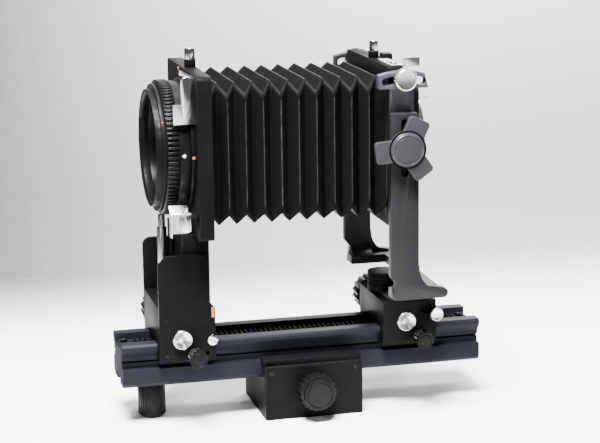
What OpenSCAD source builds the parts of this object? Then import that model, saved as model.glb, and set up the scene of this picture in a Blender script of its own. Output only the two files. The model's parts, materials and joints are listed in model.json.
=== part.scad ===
// Macro bellows unit: two standards that slide on a focusing rail, joined by pleated bellows.
// X runs along the rail with the lens end at -X, Y runs away from the near side, Z is up.
// The origin is on the table, on the axis of the tripod bush. Sizes are in millimetres.

/* [Rail] */
// Length of the rail
rail_len = 250; // [240:1:300]
// How far the rail's middle lies towards the lens from the block's middle
rail_offset = 3; // [0:0.5:8]
// Width of the rail
rail_w = 44; // [42:0.5:50]
// Height of the rail
rail_h = 29.5; // [29:0.5:34]
// Height of the lower flange, which the block's jaws grip
flange_h = 12.5; // [11:0.5:13]
// Bevel along the flange's lower edges
flange_bevel = 2.5; // [1:0.5:4]
// Depth of the waist above the flange
waist_in = 5; // [4:0.5:6]
// Height of the waist
waist_h = 5.5; // [5:0.5:6]
// Depth of the lip under the dovetail, from the rail's side
lip_in = 4; // [3:0.5:4.5]
// Width of the channel along the top
channel_w = 24; // [20:0.5:26]
// Depth of the channel along the top
channel_d = 5; // [4.5:0.1:5.5]
// Width of both racks
rack_w = 9; // [6:0.5:10]

/* [Gearing] */
// Module of the rack and pinion teeth
gear_mod = 1.1; // [1:0.05:1.2]
// Teeth on each pinion
pinion_teeth = 14; // [13:1:15]
// Radius of the pinion shafts
shaft_r = 3; // [2.5:0.1:3.5]
// Radial running clearance of shafts and pins
run_gap = 0.05; // [0.02:0.01:0.1]
// Clearance of slides and of faces that pass each other
slide_gap = 0.2; // [0.1:0.05:0.3]

/* [Block] */
// Length of the slide block along the rail
block_len = 67.6; // [60:0.2:80]
// Height of the rail's underside above the table
rail_lift = 26.5; // [25:0.5:30]
// Width of the block's body across the rail
block_w = 62; // [58:1:70]
// Thickness of the face plate
face_t = 3; // [2:0.5:4]
// Height of the face plate
face_h = 37.4; // [36:0.2:40]
// Overhang of the jaws over the flange
jaw_lip = 2.5; // [1.5:0.5:3.5]
// Radius of the tripod thread, 3/8 inch
tripod_r = 4.76; // [3.18:0.01:4.8]
// Depth of the tripod thread
tripod_depth = 9; // [7:0.5:10]
// Radius of the focusing knob's rim
block_knob_r = 13; // [11:0.5:15]
// Reach of the focusing knob from the face plate
block_knob_l = 15.6; // [14:0.2:24]
// Radius of the ribbed foot
foot_r = 9.4; // [8:0.1:10]
// Distance of the foot's axis from the rail's lens end
foot_in = 22; // [15:0.5:26]

/* [Front standard] */
// Distance of the front saddle's lens-side face from the rail's lens end
front_in = 23.7; // [23:0.1:30]
// Length of the front saddle along the rail
front_len = 36.6; // [34:0.2:42]
// Height of the front saddle's top above the table
front_top = 81.7; // [80:0.1:88]
// Half width of the front saddle between its cheeks
front_half = 29; // [28:0.2:31]
// Thickness of the cheeks
cheek_t = 3.8; // [3:0.1:5]
// Height of the cheeks above the table
cheek_top = 117.5; // [105:0.5:122]
// Height of the saddles' lower edges above the table
skirt_z = 45.2; // [45:0.1:46]
// Thickness of the upright
upright_t = 18; // [14:0.5:18]

/* [Lens panel and mount] */
// Height of the lens axis above the table
axis_z = 185.2; // [184:0.2:192]
// Width of the lens panel
panel_w = 110; // [108:1:116]
// Height of the lens panel
panel_h = 107; // [106:1:112]
// Thickness of the lens panel
panel_t = 9.5; // [8:0.5:12]
// Radius of the throat through the panel
throat_r = 34; // [30:0.5:35]
// Radius of the lens seat at the front of the mount
seat_r = 36; // [35.2:0.2:37]
// Outer radius of the ribbed ring
rib_r = 45; // [43:0.5:48]
// Number of ribs on the ring
rib_n = 88; // [60:4:100]
// Width of the ribbed ring
rib_w = 8; // [4:0.5:9]
// Length of the collar behind the ribbed ring
collar_w = 7.5; // [6:0.5:11]
// Reach of the bayonet seat in front of the ribbed ring
seat_l = 6; // [5:0.5:8]

/* [Bellows] */
// Outer size of the bellows across the folds
bellows_w = 94; // [90:1:98]
// Number of pleats
pleats = 10; // [8:1:12]
// Depth of the folds
fold_d = 7.5; // [6:0.5:9]
// Thickness of the cloth, measured across the bellows
cloth_t = 1; // [0.8:0.1:1.4]
// Length of the bellows as they stand
bellows_l = 118; // [110:1:120]

/* [Rear standard] */
// Length of the rear saddle along the rail
rear_len = 37.5; // [35:0.5:40]
// Half width of the rear saddle
rear_half = 30; // [29:0.2:32]
// Height of the rear saddle's top above the table
rear_top = 74.7; // [73:0.1:78]
// Height of the yoke's underside above the table
yoke_z = 84.2; // [83:0.1:88]
// Play between the rear frame and each carrier
side_play = 0.6; // [0.4:0.1:1]
// Thickness of the yoke's columns
column_t = 6; // [5:0.2:7]
// Width of each column
column_w = 19; // [18:0.5:22]
// Height of the columns above the table
column_top = 209.5; // [208:0.5:212]
// Radius of the turned hub that the yoke swings on
hub_r = 10.6; // [9:0.2:12]
// Half length of the slots that the frame rises in
rise_slot = 16.5; // [14:0.5:20]
// Height of the tilt axis above the lens axis
tilt_up = 1.2; // [0:0.1:2]
// Half angle of the arc slots
arc_half = 16; // [15:0.5:17]
// Half width of the slots
slot_r = 2.6; // [2.3:0.1:2.8]
// Width of the rear frame
frame_w = 102; // [101:1:104]
// Height of the rear frame
frame_h = 106; // [105:0.5:108]
// Thickness of the rear frame
frame_t = 10; // [8:0.5:11]
// Size of the square housing behind the rear frame
housing_w = 76; // [74:1:80]
// Depth of the housing
housing_t = 15; // [12:0.5:16]
// Radius of the camera throat
camera_r = 31; // [28:0.5:32]
// Length of the camera bayonet
camera_l = 6; // [5:0.5:8]

/* [Knobs and fittings] */
// Reach of the star knob's lobes from its axis
star_r = 21.5; // [19:0.5:23]
// Radius of the star knob's cap
star_cap_r = 10; // [9:0.5:11]
// Radius of the drive knobs
drive_r = 14; // [12:0.5:15.5]
// Distance of the drive knobs' ends from the rail's middle
drive_y = 60.5; // [56:0.5:62]
// Radius of the chrome caps on the pinion shafts
cap_r = 6.5; // [5:0.5:8]
// Radius of the carriage lock knobs
lock_r = 6.2; // [5:0.2:7]
// Reach of the carriage lock knobs from the saddles
lock_l = 17; // [14:0.5:20]
// Radius of the knurled tilt knobs
tilt_r = 7.5; // [6:0.1:8]
// Radius of the release sockets' chrome posts
post_r = 3.6; // [3:0.1:4]
// Radius of the thread in the release sockets
release_r = 1.7; // [1.5:0.1:2]

/* [Hidden] */
$fn = 64;
eps = 0.01;

// Rail levels and places
rail_x0 = -rail_len / 2 - rail_offset;
rail_x1 = rail_x0 + rail_len;
rail_top = rail_lift + rail_h;
rail_half = rail_w / 2;
flange_z = rail_lift + flange_h;
waist_z = flange_z + waist_h;
lip_h = 2.5;
dove_z = waist_z + lip_h + 5.5;
top_bevel = 1.5;
lip_half = rail_half - lip_in;
// Gearing
pitch_r = gear_mod * pinion_teeth / 2;
tooth_pitch = PI * gear_mod;
addendum = 0.72 * gear_mod;
dedendum = 1.0 * gear_mod;
tooth_share = 0.4;
pressure = 20;
gear_z = rail_top - 2.7 + pitch_r;
block_gear_z = rail_lift + 1.1 - pitch_r;
rack_base = 1.2;
pocket_w = rack_w + 3;
pinion_w = rack_w - 1;
bore_r = shaft_r + run_gap;
// Block
block_half = block_len / 2;
body_half = block_w / 2;
jaw_in = rail_half + slide_gap;
jaw_top = flange_z + slide_gap;
jaw_lip_t = 1.6;
face_y = -body_half - 1 - face_t;
// Front standard
front_x0 = rail_x0 + front_in;
front_x1 = front_x0 + front_len;
front_gear_x = front_x0 + 15;
cheek_y = front_half + cheek_t;
upright_x1 = front_x1 - 1.4;
upright_x0 = upright_x1 - upright_t;
panel_x1 = front_x1 - 2.3;
panel_x0 = panel_x1 - panel_t;
panel_z0 = axis_z - panel_h / 2 - 0.7;
panel_z1 = panel_z0 + panel_h;
flange_ring_t = 2.5;
collar_x0 = panel_x0 - flange_ring_t - collar_w;
rib_x0 = collar_x0 - rib_w;
seat_x0 = rib_x0 - seat_l;
mount_tube_r = 40;
// Bellows
bellows_x0 = panel_x1;
bellows_x1 = bellows_x0 + bellows_l;
// Rear standard
frame_x0 = bellows_x1;
frame_x1 = frame_x0 + frame_t;
pivot_x = frame_x0 + 8.1;
tilt_z = axis_z + tilt_up;
rear_x0 = frame_x0 + 2.2;
rear_x1 = rear_x0 + rear_len;
rear_gear_x = front_gear_x + tooth_pitch * round((rear_x0 + 16 - front_gear_x) / tooth_pitch);
swing_x = frame_x0 + 10.5;
plate_t = 2.3;
table_z0 = rear_top + plate_t;
frame_half = frame_w / 2;
frame_z0 = axis_z - frame_h / 2 + 0.8;
frame_z1 = frame_z0 + frame_h;
arc_r = frame_z1 - tilt_z - 7.4;
carrier_t = 3.6;
carrier_in = frame_half + side_play;
carrier_out = carrier_in + carrier_t;
head_t = 4;
column_in = carrier_out + slide_gap;
yoke_half = column_in + column_t;
column_x0 = pivot_x - column_w / 2;
column_x1 = column_x0 + column_w;
yoke_base_t = 6;
housing_x1 = frame_x1 + housing_t;
star_y = yoke_half + slide_gap;

// Box between two corners
module slab(a, b) {
  translate(a) cube(b - a);
}
// Round bar along Y
module ybar(r, y0, y1, x, z) {
  translate([x, y1, z]) rotate([90, 0, 0]) cylinder(r = r, h = y1 - y0);
}
// Round bar along X
module xbar(r, x0, x1, y, z) {
  translate([x0, y, z]) rotate([0, 90, 0]) cylinder(r = r, h = x1 - x0);
}
// Round bar along Z
module zbar(r, z0, z1, x, y) {
  translate([x, y, z0]) cylinder(r = r, h = z1 - z0);
}
// Outline in X and Z, carried along Y
module side_plate(outline, y0, y1) {
  translate([0, y1, 0]) rotate([90, 0, 0]) linear_extrude(y1 - y0) polygon(outline);
}
// Outline in Y and Z, carried along X
module cross_bar(outline, x0, x1) {
  translate([x0, 0, 0]) rotate([90, 0, 90]) linear_extrude(x1 - x0) polygon(outline);
}
// Points of an arc
function arc(c, r, a0, a1, n = 8) = [for (i = [0 : n]) let (a = a0 + (a1 - a0) * i / n) c + r * [cos(a), sin(a)]];
// Rectangle with four rounded corners, lower left first
function round_rect(x0, y0, x1, y1, r) = concat(
  arc([x0 + r, y0 + r], r, 180, 270), arc([x1 - r, y0 + r], r, 270, 360),
  arc([x1 - r, y1 - r], r, 0, 90), arc([x0 + r, y1 - r], r, 90, 180));
// A half outline and its mirror image in Y
function both_sides(half) = concat(half, [for (i = [len(half) - 1 : -1 : 0]) [-half[i][0], half[i][1]]]);

// Involute point at radius r on a base circle, turned by a
function involute(rb, r, a) = let (t = sqrt(max(0, pow(r / rb, 2) - 1)))
  r * [cos(t * 180 / PI - atan(t) + a), sin(t * 180 / PI - atan(t) + a)];
// One flank of a tooth from root to tip, and the whole gear outline
function flank_angle(rb, r) = let (t = sqrt(max(0, pow(r / rb, 2) - 1))) t * 180 / PI - atan(t);
function gear_outline() = let (
    rb = pitch_r * cos(pressure), ra = pitch_r + addendum, rr = pitch_r - dedendum,
    half = 180 / pinion_teeth * tooth_share + flank_angle(rb, pitch_r), low = max(rb, rr), n = 5)
  [for (k = [0 : pinion_teeth - 1]) let (turn = 360 / pinion_teeth * k)
    each concat(
      [rr * [cos(turn - half), sin(turn - half)]],
      [for (i = [0 : n]) involute(rb, low + (ra - low) * i / n, turn - half)],
      [for (i = [n : -1 : 0]) let (p = involute(rb, low + (ra - low) * i / n, -half))
        [p[0] * cos(turn) + p[1] * sin(turn), p[0] * sin(turn) - p[1] * cos(turn)]],
      [rr * [cos(turn + half), sin(turn + half)]])];
// A pinion on a shaft along Y, with a tooth straight down, or up where flip is true
module pinion(x, z, y0, y1, flip = false) {
  ybar(shaft_r, y0, y1, x, z);
  translate([x, pinion_w / 2, z]) rotate([90, 0, 0]) rotate([0, 0, flip ? 90 : -90])
    linear_extrude(pinion_w) polygon(gear_outline());
}
// Rack outline with a gap at x = mesh, teeth up
function rack_outline(x0, x1, mesh) = let (
    half_root = tooth_pitch * tooth_share / 2 + dedendum * tan(pressure),
    half_tip = tooth_pitch * tooth_share / 2 - addendum * tan(pressure),
    first = ceil((x0 + half_root - mesh) / tooth_pitch - 0.5),
    last = floor((x1 - half_root - mesh) / tooth_pitch - 0.5))
  concat([[x0, -dedendum - rack_base], [x0, -dedendum]],
    [for (k = [first : last]) let (c = mesh + (k + 0.5) * tooth_pitch)
      each [[c - half_root, -dedendum], [c - half_tip, addendum], [c + half_tip, addendum], [c + half_root, -dedendum]]],
    [[x1, -dedendum], [x1, -dedendum - rack_base]]);

// Ring of scallops cut from a knob along Y
module scallops(r, y0, y1, x, z, n, cut) {
  for (k = [0 : n - 1]) ybar(cut, y0 - 1, y1 + 1, x + (r + cut * 0.45) * cos(360 / n * k), z + (r + cut * 0.45) * sin(360 / n * k));
}
// Outline of a ring of square ribs
function ribbed(r, depth, n, share = 0.5) = [for (k = [0 : n - 1]) let (a = 360 / n * k, w = 360 / n * share / 2)
  each [for (p = [[-w, r], [w, r], [w + 0.12 * w, r - depth], [360 / n - w * 1.12, r - depth]])
    p[1] * [cos(a + p[0]), sin(a + p[0])]]];

// ---------- Slide block ----------
module slide_block() {
  color("#1f2024")
  difference() {
    union() {
      slab([-block_half, -body_half, 0], [block_half, body_half, rail_lift - slide_gap]);
      // the far jaw is part of the block
      slab([-block_half, jaw_in, rail_lift - 1], [block_half, body_half, jaw_top + jaw_lip_t]);
      slab([-block_half, rail_half - jaw_lip, jaw_top], [block_half, jaw_in + 1, jaw_top + jaw_lip_t]);
    }
    // pocket for the pinion and the bore of its shaft
    slab([-pitch_r - 3, -pocket_w / 2, block_gear_z - pitch_r - 3], [pitch_r + 3, pocket_w / 2, rail_lift + 1]);
    ybar(bore_r, face_y - 1, body_half - 6, 0, block_gear_z);
    // seat of the tripod bush
    zbar(tripod_r + 2.5, -1, tripod_depth, 0, 0);
  }
}
module near_jaw() {
  color("#1d1e22") {
    slab([-block_half, -body_half, rail_lift - slide_gap], [block_half, -jaw_in, jaw_top + jaw_lip_t]);
    slab([-block_half, -jaw_in - 1, jaw_top], [block_half, -rail_half + jaw_lip, jaw_top + jaw_lip_t]);
  }
}
module face_plate() {
  color("#232428")
  difference() {
    union() {
      side_plate(round_rect(-block_half, 0, block_half, face_h, 0.8), face_y, face_y + face_t);
      slab([-block_half + 3, face_y + face_t, 2], [block_half - 3, -body_half, rail_lift - 2]);
    }
    ybar(bore_r, face_y - 1, -body_half + 1, 0, block_gear_z);
    for (s = [-1, 1]) ybar(1.6, face_y - 1, face_y + 1.6, s * (block_half - 4.6), face_h - 4.4);
  }
}
module plate_screws() {
  color("#0e0e10")
  for (s = [-1, 1]) ybar(1.6, face_y + 0.5, face_y + 1.6, s * (block_half - 4.6), face_h - 4.4);
}
module tripod_bush() {
  color("#8f9196")
  difference() {
    zbar(tripod_r + 2.5, 0, tripod_depth, 0, 0);
    zbar(tripod_r, -1, tripod_depth + 1, 0, 0);
  }
}
module rail_pinion() {
  color("#9a9ca0")
  pinion(0, block_gear_z, face_y - block_knob_l + 6, body_half - 6 - slide_gap, true);
}
module rail_knob() {
  y1 = face_y - slide_gap;
  y2 = y1 - block_knob_l;
  color("#18181b")
  difference() {
    union() {
      ybar(7, y1 - 4, y1, 0, block_gear_z);
      difference() {
        ybar(block_knob_r, y2 + 5, y1 - 2.6, 0, block_gear_z);
        scallops(block_knob_r, y2 + 5, y1 - 2.6, 0, block_gear_z, 20, 1.5);
      }
      ybar(block_knob_r - 1.2, y2 + 3.6, y2 + 6, 0, block_gear_z);
      ybar(block_knob_r - 2.6, y2, y2 + 4, 0, block_gear_z);
    }
    ybar(shaft_r, face_y - block_knob_l + 6, y1 + 1, 0, block_gear_z);
    // turned ring in the cap's face
    difference() {
      ybar(block_knob_r - 4, y2 - 1, y2 + 0.5, 0, block_gear_z);
      ybar(block_knob_r - 4.6, y2 - 2, y2 + 1, 0, block_gear_z);
    }
  }
}

// ---------- Rail ----------
// Outline of the rail in Y and Z
rail_half_outline = [
  [rail_half - flange_bevel, rail_lift], [rail_half, rail_lift + flange_bevel], [rail_half, flange_z],
  [rail_half - waist_in, flange_z], [rail_half - waist_in, waist_z - 1.6],
  [rail_half - waist_in - 1.8, waist_z - 1.6], [rail_half - waist_in - 1.8, waist_z],
  [lip_half, waist_z], [lip_half, waist_z + lip_h],
  [rail_half, dove_z], [rail_half, rail_top - top_bevel], [rail_half - top_bevel, rail_top]];
module rail() {
  rack_floor = rail_lift + 1.1 + dedendum + rack_base;
  color("#2a2c33")
  difference() {
    cross_bar(both_sides(rail_half_outline), rail_x0, rail_x1);
    // channel on top, wider at its floor, and groove for the lower rack
    slab([rail_x0 - 1, -channel_w / 2, rail_top - channel_d], [rail_x1 + 1, channel_w / 2, rail_top + 1]);
    slab([rail_x0 - 1, -rack_w / 2 - 1.5, rail_lift - 1], [rail_x1 + 1, rack_w / 2 + 1.5, rack_floor]);
    // thread for the foot
    zbar(3, rail_lift - 1, rail_lift + 8, rail_x0 + foot_in, 0);
    // threads for the stops
    for (s = [0, 1]) zbar(1.5, rail_top - channel_d - 4, rail_top, stop_x(s), stop_y);
  }
}
stop_y = channel_w / 4 + rack_w / 4;
function stop_x(s) = s == 0 ? rail_x0 + 5 : rail_x1 - 5;
module top_rack() {
  color("#3a3c40")
  translate([0, 0, gear_z - pitch_r])
    side_plate(rack_outline(rail_x0 + 10, rail_x1 - 10, front_gear_x), -rack_w / 2, rack_w / 2);
}
module bottom_rack() {
  color("#3a3c40")
  translate([0, 0, block_gear_z + pitch_r]) mirror([0, 0, 1])
    side_plate(rack_outline(rail_x0 + foot_in + 12, rail_x1 - 4, 0), -rack_w / 2, rack_w / 2);
}
module rail_stops() {
  color("#131316")
  for (s = [0, 1]) {
    zbar(1.5, rail_top - channel_d - 4, rail_top - channel_d, stop_x(s), stop_y);
    zbar(2.6, rail_top - channel_d, rail_top - channel_d + 2.2, stop_x(s), stop_y);
  }
}
module foot_stud() {
  color("#9a9ca0")
  zbar(3, rail_lift - 5, rail_lift + 8, rail_x0 + foot_in, 0);
}
module foot() {
  x = rail_x0 + foot_in;
  top = rail_lift - slide_gap;
  color("#19191c")
  difference() {
    union() {
      translate([x, 0, 1.5]) linear_extrude(top - 5.5) polygon(ribbed(foot_r, 0.9, 28, 0.62));
      translate([x, 0, 0]) cylinder(r1 = foot_r - 2.2, r2 = foot_r - 0.6, h = 1.5);
      zbar(foot_r - 0.9, 1.5, top - 3, x, 0);
      zbar(foot_r - 1.4, top - 4.5, top, x, 0);
    }
    zbar(3 + run_gap, rail_lift - 5.5, top + 1, x, 0);
  }
}

// ---------- Saddles ----------
// Space under a saddle, which clears the upper half of the rail
function saddle_space(g) = both_sides([
  [lip_half + g, skirt_z - 1], [lip_half + g, waist_z + lip_h - g],
  [rail_half + g, dove_z - g], [rail_half + g, rail_top + g]]);
// Pocket and bore for a pinion in a saddle
module gear_pocket(x, half) {
  slab([x - pitch_r - 3, -pocket_w / 2, rail_top - 2], [x + pitch_r + 3, pocket_w / 2, gear_z + pitch_r + 3]);
  ybar(bore_r, -half - 1, half + 1, x, gear_z);
}
module front_saddle() {
  color("#232428")
  difference() {
    slab([front_x0, -front_half, skirt_z], [front_x1, front_half, front_top]);
    cross_bar(saddle_space(slide_gap), front_x0 - 1, front_x1 + 1);
    gear_pocket(front_gear_x, front_half);
    // thread of the lock knob and seats of the cheek screws
    ybar(2.5 + run_gap, -front_half - 1, -rail_half, lock_x(front_x0), lock_z);
    zbar(plunger_r + run_gap, front_top - 6, front_top + 1, plunger_x, 0);
    for (s = [-1, 1], p = cheek_holes()) ybar(1.5, s < 0 ? -front_half - 1 : front_half - 4, s < 0 ? -front_half + 4 : front_half + 1, p[0], p[1]);
  }
}
lock_z = 50.8;
function lock_x(x0) = x0 + 23;
plunger_r = 3.3;
plunger_x = front_x0 + 8.6;
function cheek_holes() = [[front_x0 + 5, skirt_z + 5], [front_x1 - 5, skirt_z + 5], [front_x0 + 5, front_top - 7]];
// Outline of a cheek in X and Z, with n steps round its upper corner at the lens end
function cheek_outline(n) = concat(
  [[front_x0, skirt_z], [front_x1 + 1, skirt_z], [front_x1 + 1, front_top - 0.8], [front_x1 - 3.6, front_top + 4.8]],
  arc([front_x1 - 5.1, cheek_top - 1.5], 1.5, 0, 90), arc([front_x0 + 5.5, cheek_top - 5.5], 5.5, 90, 180, n));
strip_screw = [front_x1 - 1.2, skirt_z + 14];
module cheek(s) {
  y0 = s < 0 ? -cheek_y : front_half;
  difference() {
    side_plate(cheek_outline(s < 0 ? 1 : 8), y0, y0 + cheek_t);
    ybar(bore_r, y0 - 1, y0 + cheek_t + 1, front_gear_x, gear_z);
    if (s < 0) ybar(2.5 + run_gap, y0 - 1, y0 + cheek_t + 1, lock_x(front_x0), lock_z);
    for (p = cheek_holes()) ybar(1.5, y0 - 1, y0 + cheek_t + 1, p[0], p[1]);
    if (s < 0) ybar(1.2, y0 - 1, y0 + cheek_t - 0.5, strip_screw[0], strip_screw[1]);
  }
}
module near_cheek() {
  color("#26272b") cheek(-1);
}
module far_cheek() {
  color("#26272b") cheek(1);
}
module cheek_screws() {
  color("#121214")
  for (s = [-1, 1], p = cheek_holes())
    ybar(1.5, s < 0 ? -cheek_y + 0.4 : front_half - 3.5, s < 0 ? -front_half + 3.5 : cheek_y - 0.4, p[0], p[1]);
  // slotted screw at the edge of the near cheek
  color("#e3e5e6")
  difference() {
    union() {
      ybar(1.2, -cheek_y - 0.5, -front_half - 0.5, strip_screw[0], strip_screw[1]);
      ybar(3.4, -cheek_y - 1.3, -cheek_y, strip_screw[0], strip_screw[1]);
    }
    translate([strip_screw[0], -cheek_y - 1.3, strip_screw[1]]) rotate([0, 20, 0]) slab([-4, -1, -0.4], [4, 0.7, 0.4]);
  }
}
module front_upright() {
  color("#1e1f23")
  difference() {
    slab([upright_x0, -front_half, front_top], [upright_x1, front_half, panel_z0]);
    slab([upright_x0 - 1, -front_half + 12, front_top + 8], [upright_x0 + 3, front_half - 12, panel_z0 - 8]);
  }
}
module lens_panel() {
  color("#222327")
  difference() {
    union() {
      cross_bar(round_rect(-panel_w / 2, panel_z0, panel_w / 2, panel_z1, 4), panel_x0, panel_x1);
      // arm that carries the spring catch
      slab([catch_x - 1, catch_y + 6, catch_z - 7], [panel_x0 + 1, catch_y + 9, catch_z]);
    }
    xbar(throat_r, panel_x0 - 1, panel_x1 + 1, 0, axis_z);
    // socket of the release post
    zbar(post_r - 0.8, panel_z1 - 5, panel_z1 + 1, post_x, 0);
  }
}
post_x = panel_x1 - 3.6;

// ---------- Lens mount ----------
module mount_flange() {
  color("#1a1a1d")
  difference() {
    union() {
      xbar(rib_r + 1, panel_x0 - flange_ring_t, panel_x0, 0, axis_z);
      xbar(mount_tube_r, rib_x0, panel_x0, 0, axis_z);
    }
    xbar(throat_r, rib_x0 - 1, panel_x0 + 1, 0, axis_z);
  }
}
module collar_ring() {
  color("#1c1c1f")
  difference() {
    xbar(rib_r - 1, collar_x0, panel_x0 - flange_ring_t - slide_gap, 0, axis_z);
    xbar(mount_tube_r + run_gap, collar_x0 - 1, panel_x0, 0, axis_z);
  }
}
module ribbed_ring() {
  color("#17171a")
  difference() {
    union() {
      translate([rib_x0 + 0.6, 0, axis_z]) rotate([0, 90, 0]) linear_extrude(rib_w - 1.2) polygon(ribbed(rib_r, 1.1, rib_n));
      xbar(rib_r - 1.1, rib_x0, collar_x0, 0, axis_z);
    }
    xbar(mount_tube_r + run_gap, rib_x0 - 1, collar_x0 + 1, 0, axis_z);
  }
}
module lens_seat() {
  // bayonet seat with a funnel mouth
  color("#1b1c20")
  difference() {
    union() {
      xbar(rib_r - 2.6, rib_x0 - 2.5, rib_x0 - slide_gap, 0, axis_z);
      xbar(rib_r - 6, seat_x0, rib_x0, 0, axis_z);
    }
    translate([seat_x0 - eps, 0, axis_z]) rotate([0, 90, 0]) cylinder(r1 = seat_r + 1.6, r2 = seat_r, h = 1.6);
    xbar(seat_r, seat_x0 - 1, rib_x0 + 1, 0, axis_z);
    // three entry notches for the lens's lugs
    for (k = [0 : 2]) translate([seat_x0, 0, axis_z]) rotate([120 * k + 40, 0, 0]) slab([-1, -9, 0], [1.6, 9, seat_r + 1.8]);
  }
}
module lock_lever() {
  color("#e4e4e2")
  side_plate(concat(arc([lever_x, lever_z], lever_r, 0, 180, 16),
    [[lever_x - 4.3, lever_z - 8], [lever_x - 3.4, lever_z - 21.6], [lever_x - 1, lever_z - 22.4], [lever_x + 3.2, lever_z - 9]]),
    lever_y, lever_y + 2.4);
  color("#e4e4e2") ybar(1.5 - run_gap, lever_y, lever_y + 5.9, lever_x, lever_z);
}
lever_x = panel_x0 - 4.9;
lever_r = 4.7;
lever_z = axis_z + 47.8;
lever_y = -48;
module lever_plate() {
  color("#f0eee6")
  difference() {
    union() {
      // plate behind the lever, and its foot on the panel
      slab([lever_x - 8.8, lever_y + 4, lever_z - 26.4], [lever_x + 3.6, lever_y + 5.2, lever_z - 13.7]);
      slab([lever_x - 2.2, lever_y + 4, lever_z - 14], [lever_x + 3.6, lever_y + 5.2, lever_z + 4]);
      slab([lever_x + 2.6, lever_y + 4, lever_z - 26.4], [panel_x0, lever_y + 6.4, lever_z + 4]);
      // bent tab above the lever
      side_plate([[lever_x - 4.2, lever_z + 5.4], [lever_x + 3.6, lever_z + 3.2], [lever_x + 3.6, lever_z + 4.6],
        [lever_x - 4.2, lever_z + 9]], lever_y + 4, lever_y + 5.2);
    }
    ybar(1.5, lever_y, lever_y + 9, lever_x, lever_z);
  }
}
module spring_catch() {
  // bent spring leaf: a back plate, a turned-up edge, a slanted top and an eye for the roller
  color("#e6e6e4")
  difference() {
    union() {
      slab([catch_x - 9.6, catch_y + 5.2, catch_z - 9.5], [catch_x + 1.4, catch_y + 6, catch_z + 9]);
      slab([catch_x - 10.4, catch_y, catch_z - 11], [catch_x - 9.4, catch_y + 6, catch_z + 4]);
      cross_bar([[catch_y, catch_z + 3.6], [catch_y + 6, catch_z + 8.2], [catch_y + 6, catch_z + 9.2],
        [catch_y, catch_z + 4.6]], catch_x - 10.4, catch_x - 2.6);
      slab([catch_x - 3.4, catch_y - 1, catch_z + 4], [catch_x + 3, catch_y + 5.6, catch_z + 5]);
    }
    zbar(1.5 + run_gap, catch_z - 20, catch_z + 20, catch_x, roller_y);
  }
}
catch_x = panel_x0 - 7.8;
catch_y = -50;
catch_z = axis_z - 40.2;
roller_y = catch_y + 1.8;
module catch_roller() {
  color("#efefee") {
    translate([catch_x, roller_y, catch_z - 7.8]) linear_extrude(11.6) polygon(ribbed(3.1, 0.35, 18));
    zbar(1.5, catch_z - 7.8, catch_z + 6, catch_x, roller_y);
    zbar(2.1, catch_z + 5 + slide_gap, catch_z + 10, catch_x, roller_y);
  }
}
module plunger_tube() {
  color("#cfcdc6")
  difference() {
    zbar(plunger_r, front_top - 6, panel_z0 + 0.5, plunger_x, 0);
    zbar(rod_r + run_gap, front_top - 5, panel_z0 + 9, plunger_x, 0);
  }
}
module plunger_rod() {
  color("#b9b8b2") zbar(rod_r, front_top + 30, axis_z - rib_r - 0.6, plunger_x, 0);
}
rod_r = 2.4;
module front_release_post() {
  color("#16161a")
  difference() {
    union() {
      zbar(post_r + 0.2, panel_z1, panel_z1 + 5, post_x, 0);
      zbar(post_r - 0.8, panel_z1 - 5, panel_z1 + 1, post_x, 0);
    }
    zbar(release_r + 0.6, panel_z1 - 6, panel_z1 + 6, post_x, 0);
  }
}
module front_release_socket() {
  color("#e8e8e8")
  difference() {
    union() {
      zbar(post_r, panel_z1 + 5, panel_z1 + 12.5, post_x, 0);
      zbar(release_r + 0.6, panel_z1, panel_z1 + 6, post_x, 0);
    }
    zbar(release_r, panel_z1 + 4.5, panel_z1 + 13, post_x, 0);
  }
}
module index_marks() {
  color("#f59a1c") {
    // focus index on the near cheek, and dots round the mount
    slab([front_x1 - 1.5, -cheek_y - 0.3, front_top - 6.9], [front_x1 + 0.2, -cheek_y, front_top]);
    ybar(1.1, -rib_r - 1.3, -rib_r - 1, panel_x0 - 1.2, axis_z);
    xbar(1.4, panel_x0 - 0.4, panel_x0, 8, panel_z1 - 2.4);
  }
}

// ---------- Drives and locks ----------
// A scalloped drive knob on the far side
module drive_knob(x, y0) {
  difference() {
    union() {
      ybar(drive_r - 5, y0, drive_y - 12, x, gear_z);
      difference() {
        ybar(drive_r, drive_y - 14, drive_y - 2, x, gear_z);
        scallops(drive_r, drive_y - 14, drive_y - 2, x, gear_z, 18, 1.7);
      }
      ybar(drive_r - 2.6, drive_y - 3, drive_y, x, gear_z);
    }
    ybar(shaft_r, y0 - 1, y0 + 10, x, gear_z);
  }
}
// A turned cap on the near end of a pinion shaft
module shaft_cap(x, y1) {
  difference() {
    union() {
      ybar(cap_r, y1 - 2, y1, x, gear_z);
      translate([x, y1 - 2, gear_z]) rotate([90, 0, 0]) cylinder(r1 = cap_r, r2 = cap_r - 0.6, h = 0.6);
    }
    ybar(shaft_r, y1 - 1.4, y1 + 1, x, gear_z);
  }
}
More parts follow.
